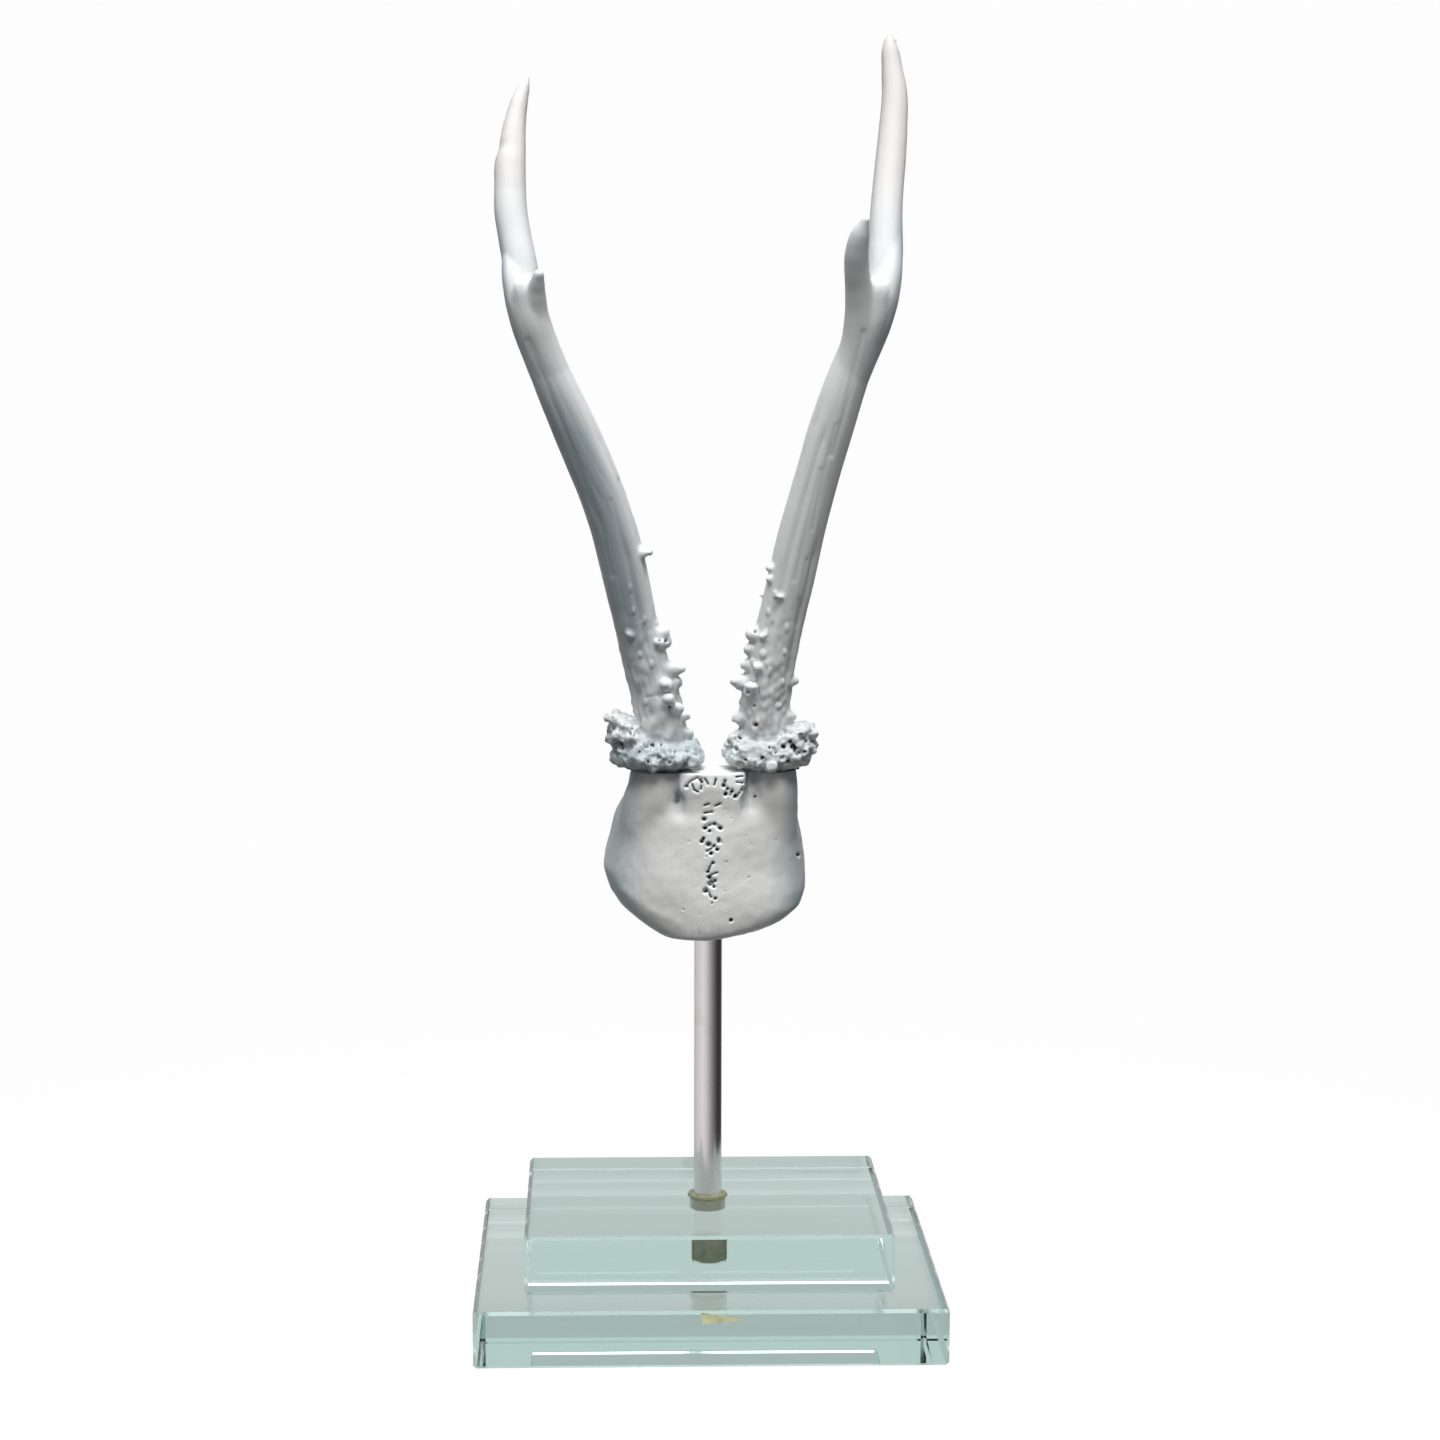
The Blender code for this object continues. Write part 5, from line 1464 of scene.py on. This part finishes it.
def fleck_finish():
    material, nodes, place = new_material("dried_adhesive")
    cloud = nodes.noise(place, 300.0, 4.0, 0.6)
    colour = nodes.mix(cloud.over(0.35, 0.65), (0.52, 0.51, 0.31), (0.68, 0.67, 0.44))
    rough = 0.6 + cloud * 0.2
    nodes.paint({"Base Color": colour, "Roughness": rough, "Normal": nodes.bump(0.2, 0.0001, cloud)})
    return material


bm = bmesh.new()
front_ring, back_ring = (
    [bm.verts.new((x, y, z)) for x, z in FLECK_OUTLINE] for y in (FLECK_FRONT, FLECK_BACK)
)
bm.faces.new(front_ring)
bm.faces.new(list(reversed(back_ring)))
for k in range(len(FLECK_OUTLINE)):
    n = (k + 1) % len(FLECK_OUTLINE)
    bm.faces.new((front_ring[k], back_ring[k], back_ring[n], front_ring[n]))
bmesh.ops.recalc_face_normals(bm, faces=bm.faces)
fleck = add_object("dried_fleck", mesh_of("fleck", bm), fleck_finish())
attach(fleck, "root")
print(fleck.name, len(fleck.data.polygons), "faces")

# %% [markdown]
# ## The studio
#
# The object stands on a plain pale floor under one large soft light, high up and a little in front,
# as on a packshot table. The metal and the glass mirror the walls and the lamp, the paint hardly
# does. So the surroundings are one brightness for the camera, walls and a bright ceiling for what
# mirrors or bends light, and a dim glow for everything matt.

# %% The surroundings
BACKDROP = 0.985
# Brightness of the walls from left (0) to right (1), and by height from the horizon (0) upwards.
LOW_WALLS = (
    (0.0, 0.75), (0.135, 0.90), (0.35, 0.75), (0.5, 0.57), (0.65, 0.40), (0.785, 0.24),
    (0.935, 0.10), (1.0, 0.03),
)
LOW_WALLS_BEHIND = (
    (0.0, 0.75), (0.2, 0.53), (0.3, 0.80), (0.5, 0.95), (0.7, 0.80), (0.8, 0.10), (1.0, 0.03),
)
HIGH_WALLS = ((0.0, 0.54), (0.45, 0.54), (0.62, 0.70), (0.80, 1.0), (1.0, 1.0))
GLOW = ((0.0, 0.11), (0.5, 0.13), (1.0, 0.22))
WALL_TINT = (0.94, 1.0, 0.985)
CEILING = 2.2
DARKEST_THROUGH_GLASS = 0.22


def surroundings():
    world = bpy.data.worlds.new("studio")
    world.use_nodes = True
    world.node_tree.nodes.clear()
    nodes = Nodes(world.node_tree)
    direction = nodes.node("ShaderNodeTexCoord", output="Generated")
    aim = nodes.node("ShaderNodeSeparateXYZ", {}, {0: direction})
    side = aim.out("X") * 0.5 + 0.5
    front, behind = nodes.ramp(LOW_WALLS, side), nodes.ramp(LOW_WALLS_BEHIND, side)
    back = aim.out("Y").over(-0.1, 0.1)
    low = front * (1 - back) + behind * back
    high = nodes.ramp(HIGH_WALLS, aim.out("Z")) + aim.out("Z").over(0.80, 0.95) * CEILING
    up = aim.out("Z").over(-0.02, 0.10)
    walls = low * (1 - up) + high * up
    path = nodes.node("ShaderNodeLightPath")
    walls = path.maths("MAXIMUM", walls, path.out("Is Transmission Ray") * DARKEST_THROUGH_GLASS)
    glow = nodes.ramp(GLOW, aim.out("Z") * 0.5 + 0.5)
    camera_ray = path.out("Is Camera Ray")
    mirrored = path.maths("MAXIMUM", path.out("Is Glossy Ray"), path.out("Is Transmission Ray"))
    light = glow * (1 - mirrored) + walls * mirrored
    strength = light * (1 - camera_ray) + BACKDROP * camera_ray
    tint = nodes.mix(mirrored * up, (1.0, 1.0, 1.0), WALL_TINT)
    shine = nodes.node("ShaderNodeBackground", {}, {"Color": tint, "Strength": strength})
    nodes.node("ShaderNodeOutputWorld", {}, {"Surface": shine})
    return world


scene.world = surroundings()
scene.view_settings.view_transform = "Standard"
print("backdrop", BACKDROP)

# %% The floor
# Behind and below the glass the floor shows as a glowing table top, greener and darker than the
# backdrop, with painted bands of light and shade across it and faint brushed streaks: brightness by
# place, from the front (0) to the back (1).
FLOOR_RADIUS, FLOOR_BELOW = 3.0, 0.0002
TABLE = (0.60, 0.67, 0.645)
PAINTED_LIGHT_BANDS = (
    (0.0, 0.74), (0.15, 0.80), (0.267, 0.90), (0.487, 0.94), (0.575, 1.0), (0.633, 0.96), (0.666, 1.0),
    (0.677, 1.16), (0.707, 1.16), (0.718, 1.04), (0.751, 1.02), (0.765, 0.96), (0.780, 1.10),
    (0.839, 1.08), (0.853, 0.98), (1.0, 1.04),
)
PAINTED_LIGHT_BANDS_FROM, PAINTED_LIGHT_BANDS_TO = -0.070, 0.080


def floor_finish():
    material, nodes, place = new_material("pale_floor")
    apart = nodes.node("ShaderNodeVectorMath", {"operation": "LENGTH"}, {0: place}, "Value")
    share = (nodes.axis(place, "Y") - PAINTED_LIGHT_BANDS_FROM) / (PAINTED_LIGHT_BANDS_TO - PAINTED_LIGHT_BANDS_FROM)
    half = tuple((position, shade / 2) for position, shade in PAINTED_LIGHT_BANDS)
    brushed = nodes.noise(nodes.stretched(place, (3.0, 700.0, 1.0)), 1.0, 3.0, 0.6)
    # Painted bands of light and shade, with faint brushed lines across them.
    streaks = nodes.ramp(half, share) * 2.0 * (0.94 + brushed * 0.12)
    matt = nodes.node("ShaderNodeBsdfDiffuse", {}, {"Color": (0.93, 0.93, 0.93, 1)})
    shine = nodes.node("ShaderNodeEmission", {}, {"Color": (1, 1, 1, 1), "Strength": BACKDROP})
    plain = nodes.node(
        "ShaderNodeMixShader", {}, {0: apart.over(0.10, 0.45) * 0.15 + 0.85, 1: matt, 2: shine}
    )
    # The glass shows the floor as this glowing table with its painted bands.
    table = nodes.node("ShaderNodeEmission", {}, {"Color": (*TABLE, 1), "Strength": streaks})
    bent = nodes.node("ShaderNodeLightPath", output="Is Transmission Ray")
    surface = nodes.node("ShaderNodeMixShader", {}, {0: bent, 1: plain, 2: table})
    nodes.node("ShaderNodeOutputMaterial", {}, {"Surface": surface})
    return material


bm = bmesh.new()
place = Matrix.Translation((0, 0, -FLOOR_BELOW))
bmesh.ops.create_circle(bm, cap_ends=True, segments=96, radius=FLOOR_RADIUS, matrix=place)
floor = add_object("floor", mesh_of("floor", bm), floor_finish())
floor.visible_diffuse = False
floor.visible_glossy = False
print("floor", FLOOR_RADIUS, "m")

# %% The light
LAMP_WIDTH, LAMP_POWER = 2.4, 131.0
LAMP_PLACE, LAMP_AIM = Vector((0.0, -0.96, 2.88)), Vector((0, 0, 0.25))
key = bpy.data.objects.new("soft_light", bpy.data.lights.new("soft_light", "AREA"))
key.data.shape = "DISK"
key.data.size = LAMP_WIDTH
key.data.energy = LAMP_POWER
key.location = LAMP_PLACE
key.rotation_euler = (LAMP_AIM - LAMP_PLACE).to_track_quat("-Z", "Y").to_euler()
key.visible_glossy = False
key.visible_transmission = False
scene.collection.objects.link(key)
print("light", key.data.energy, "W")
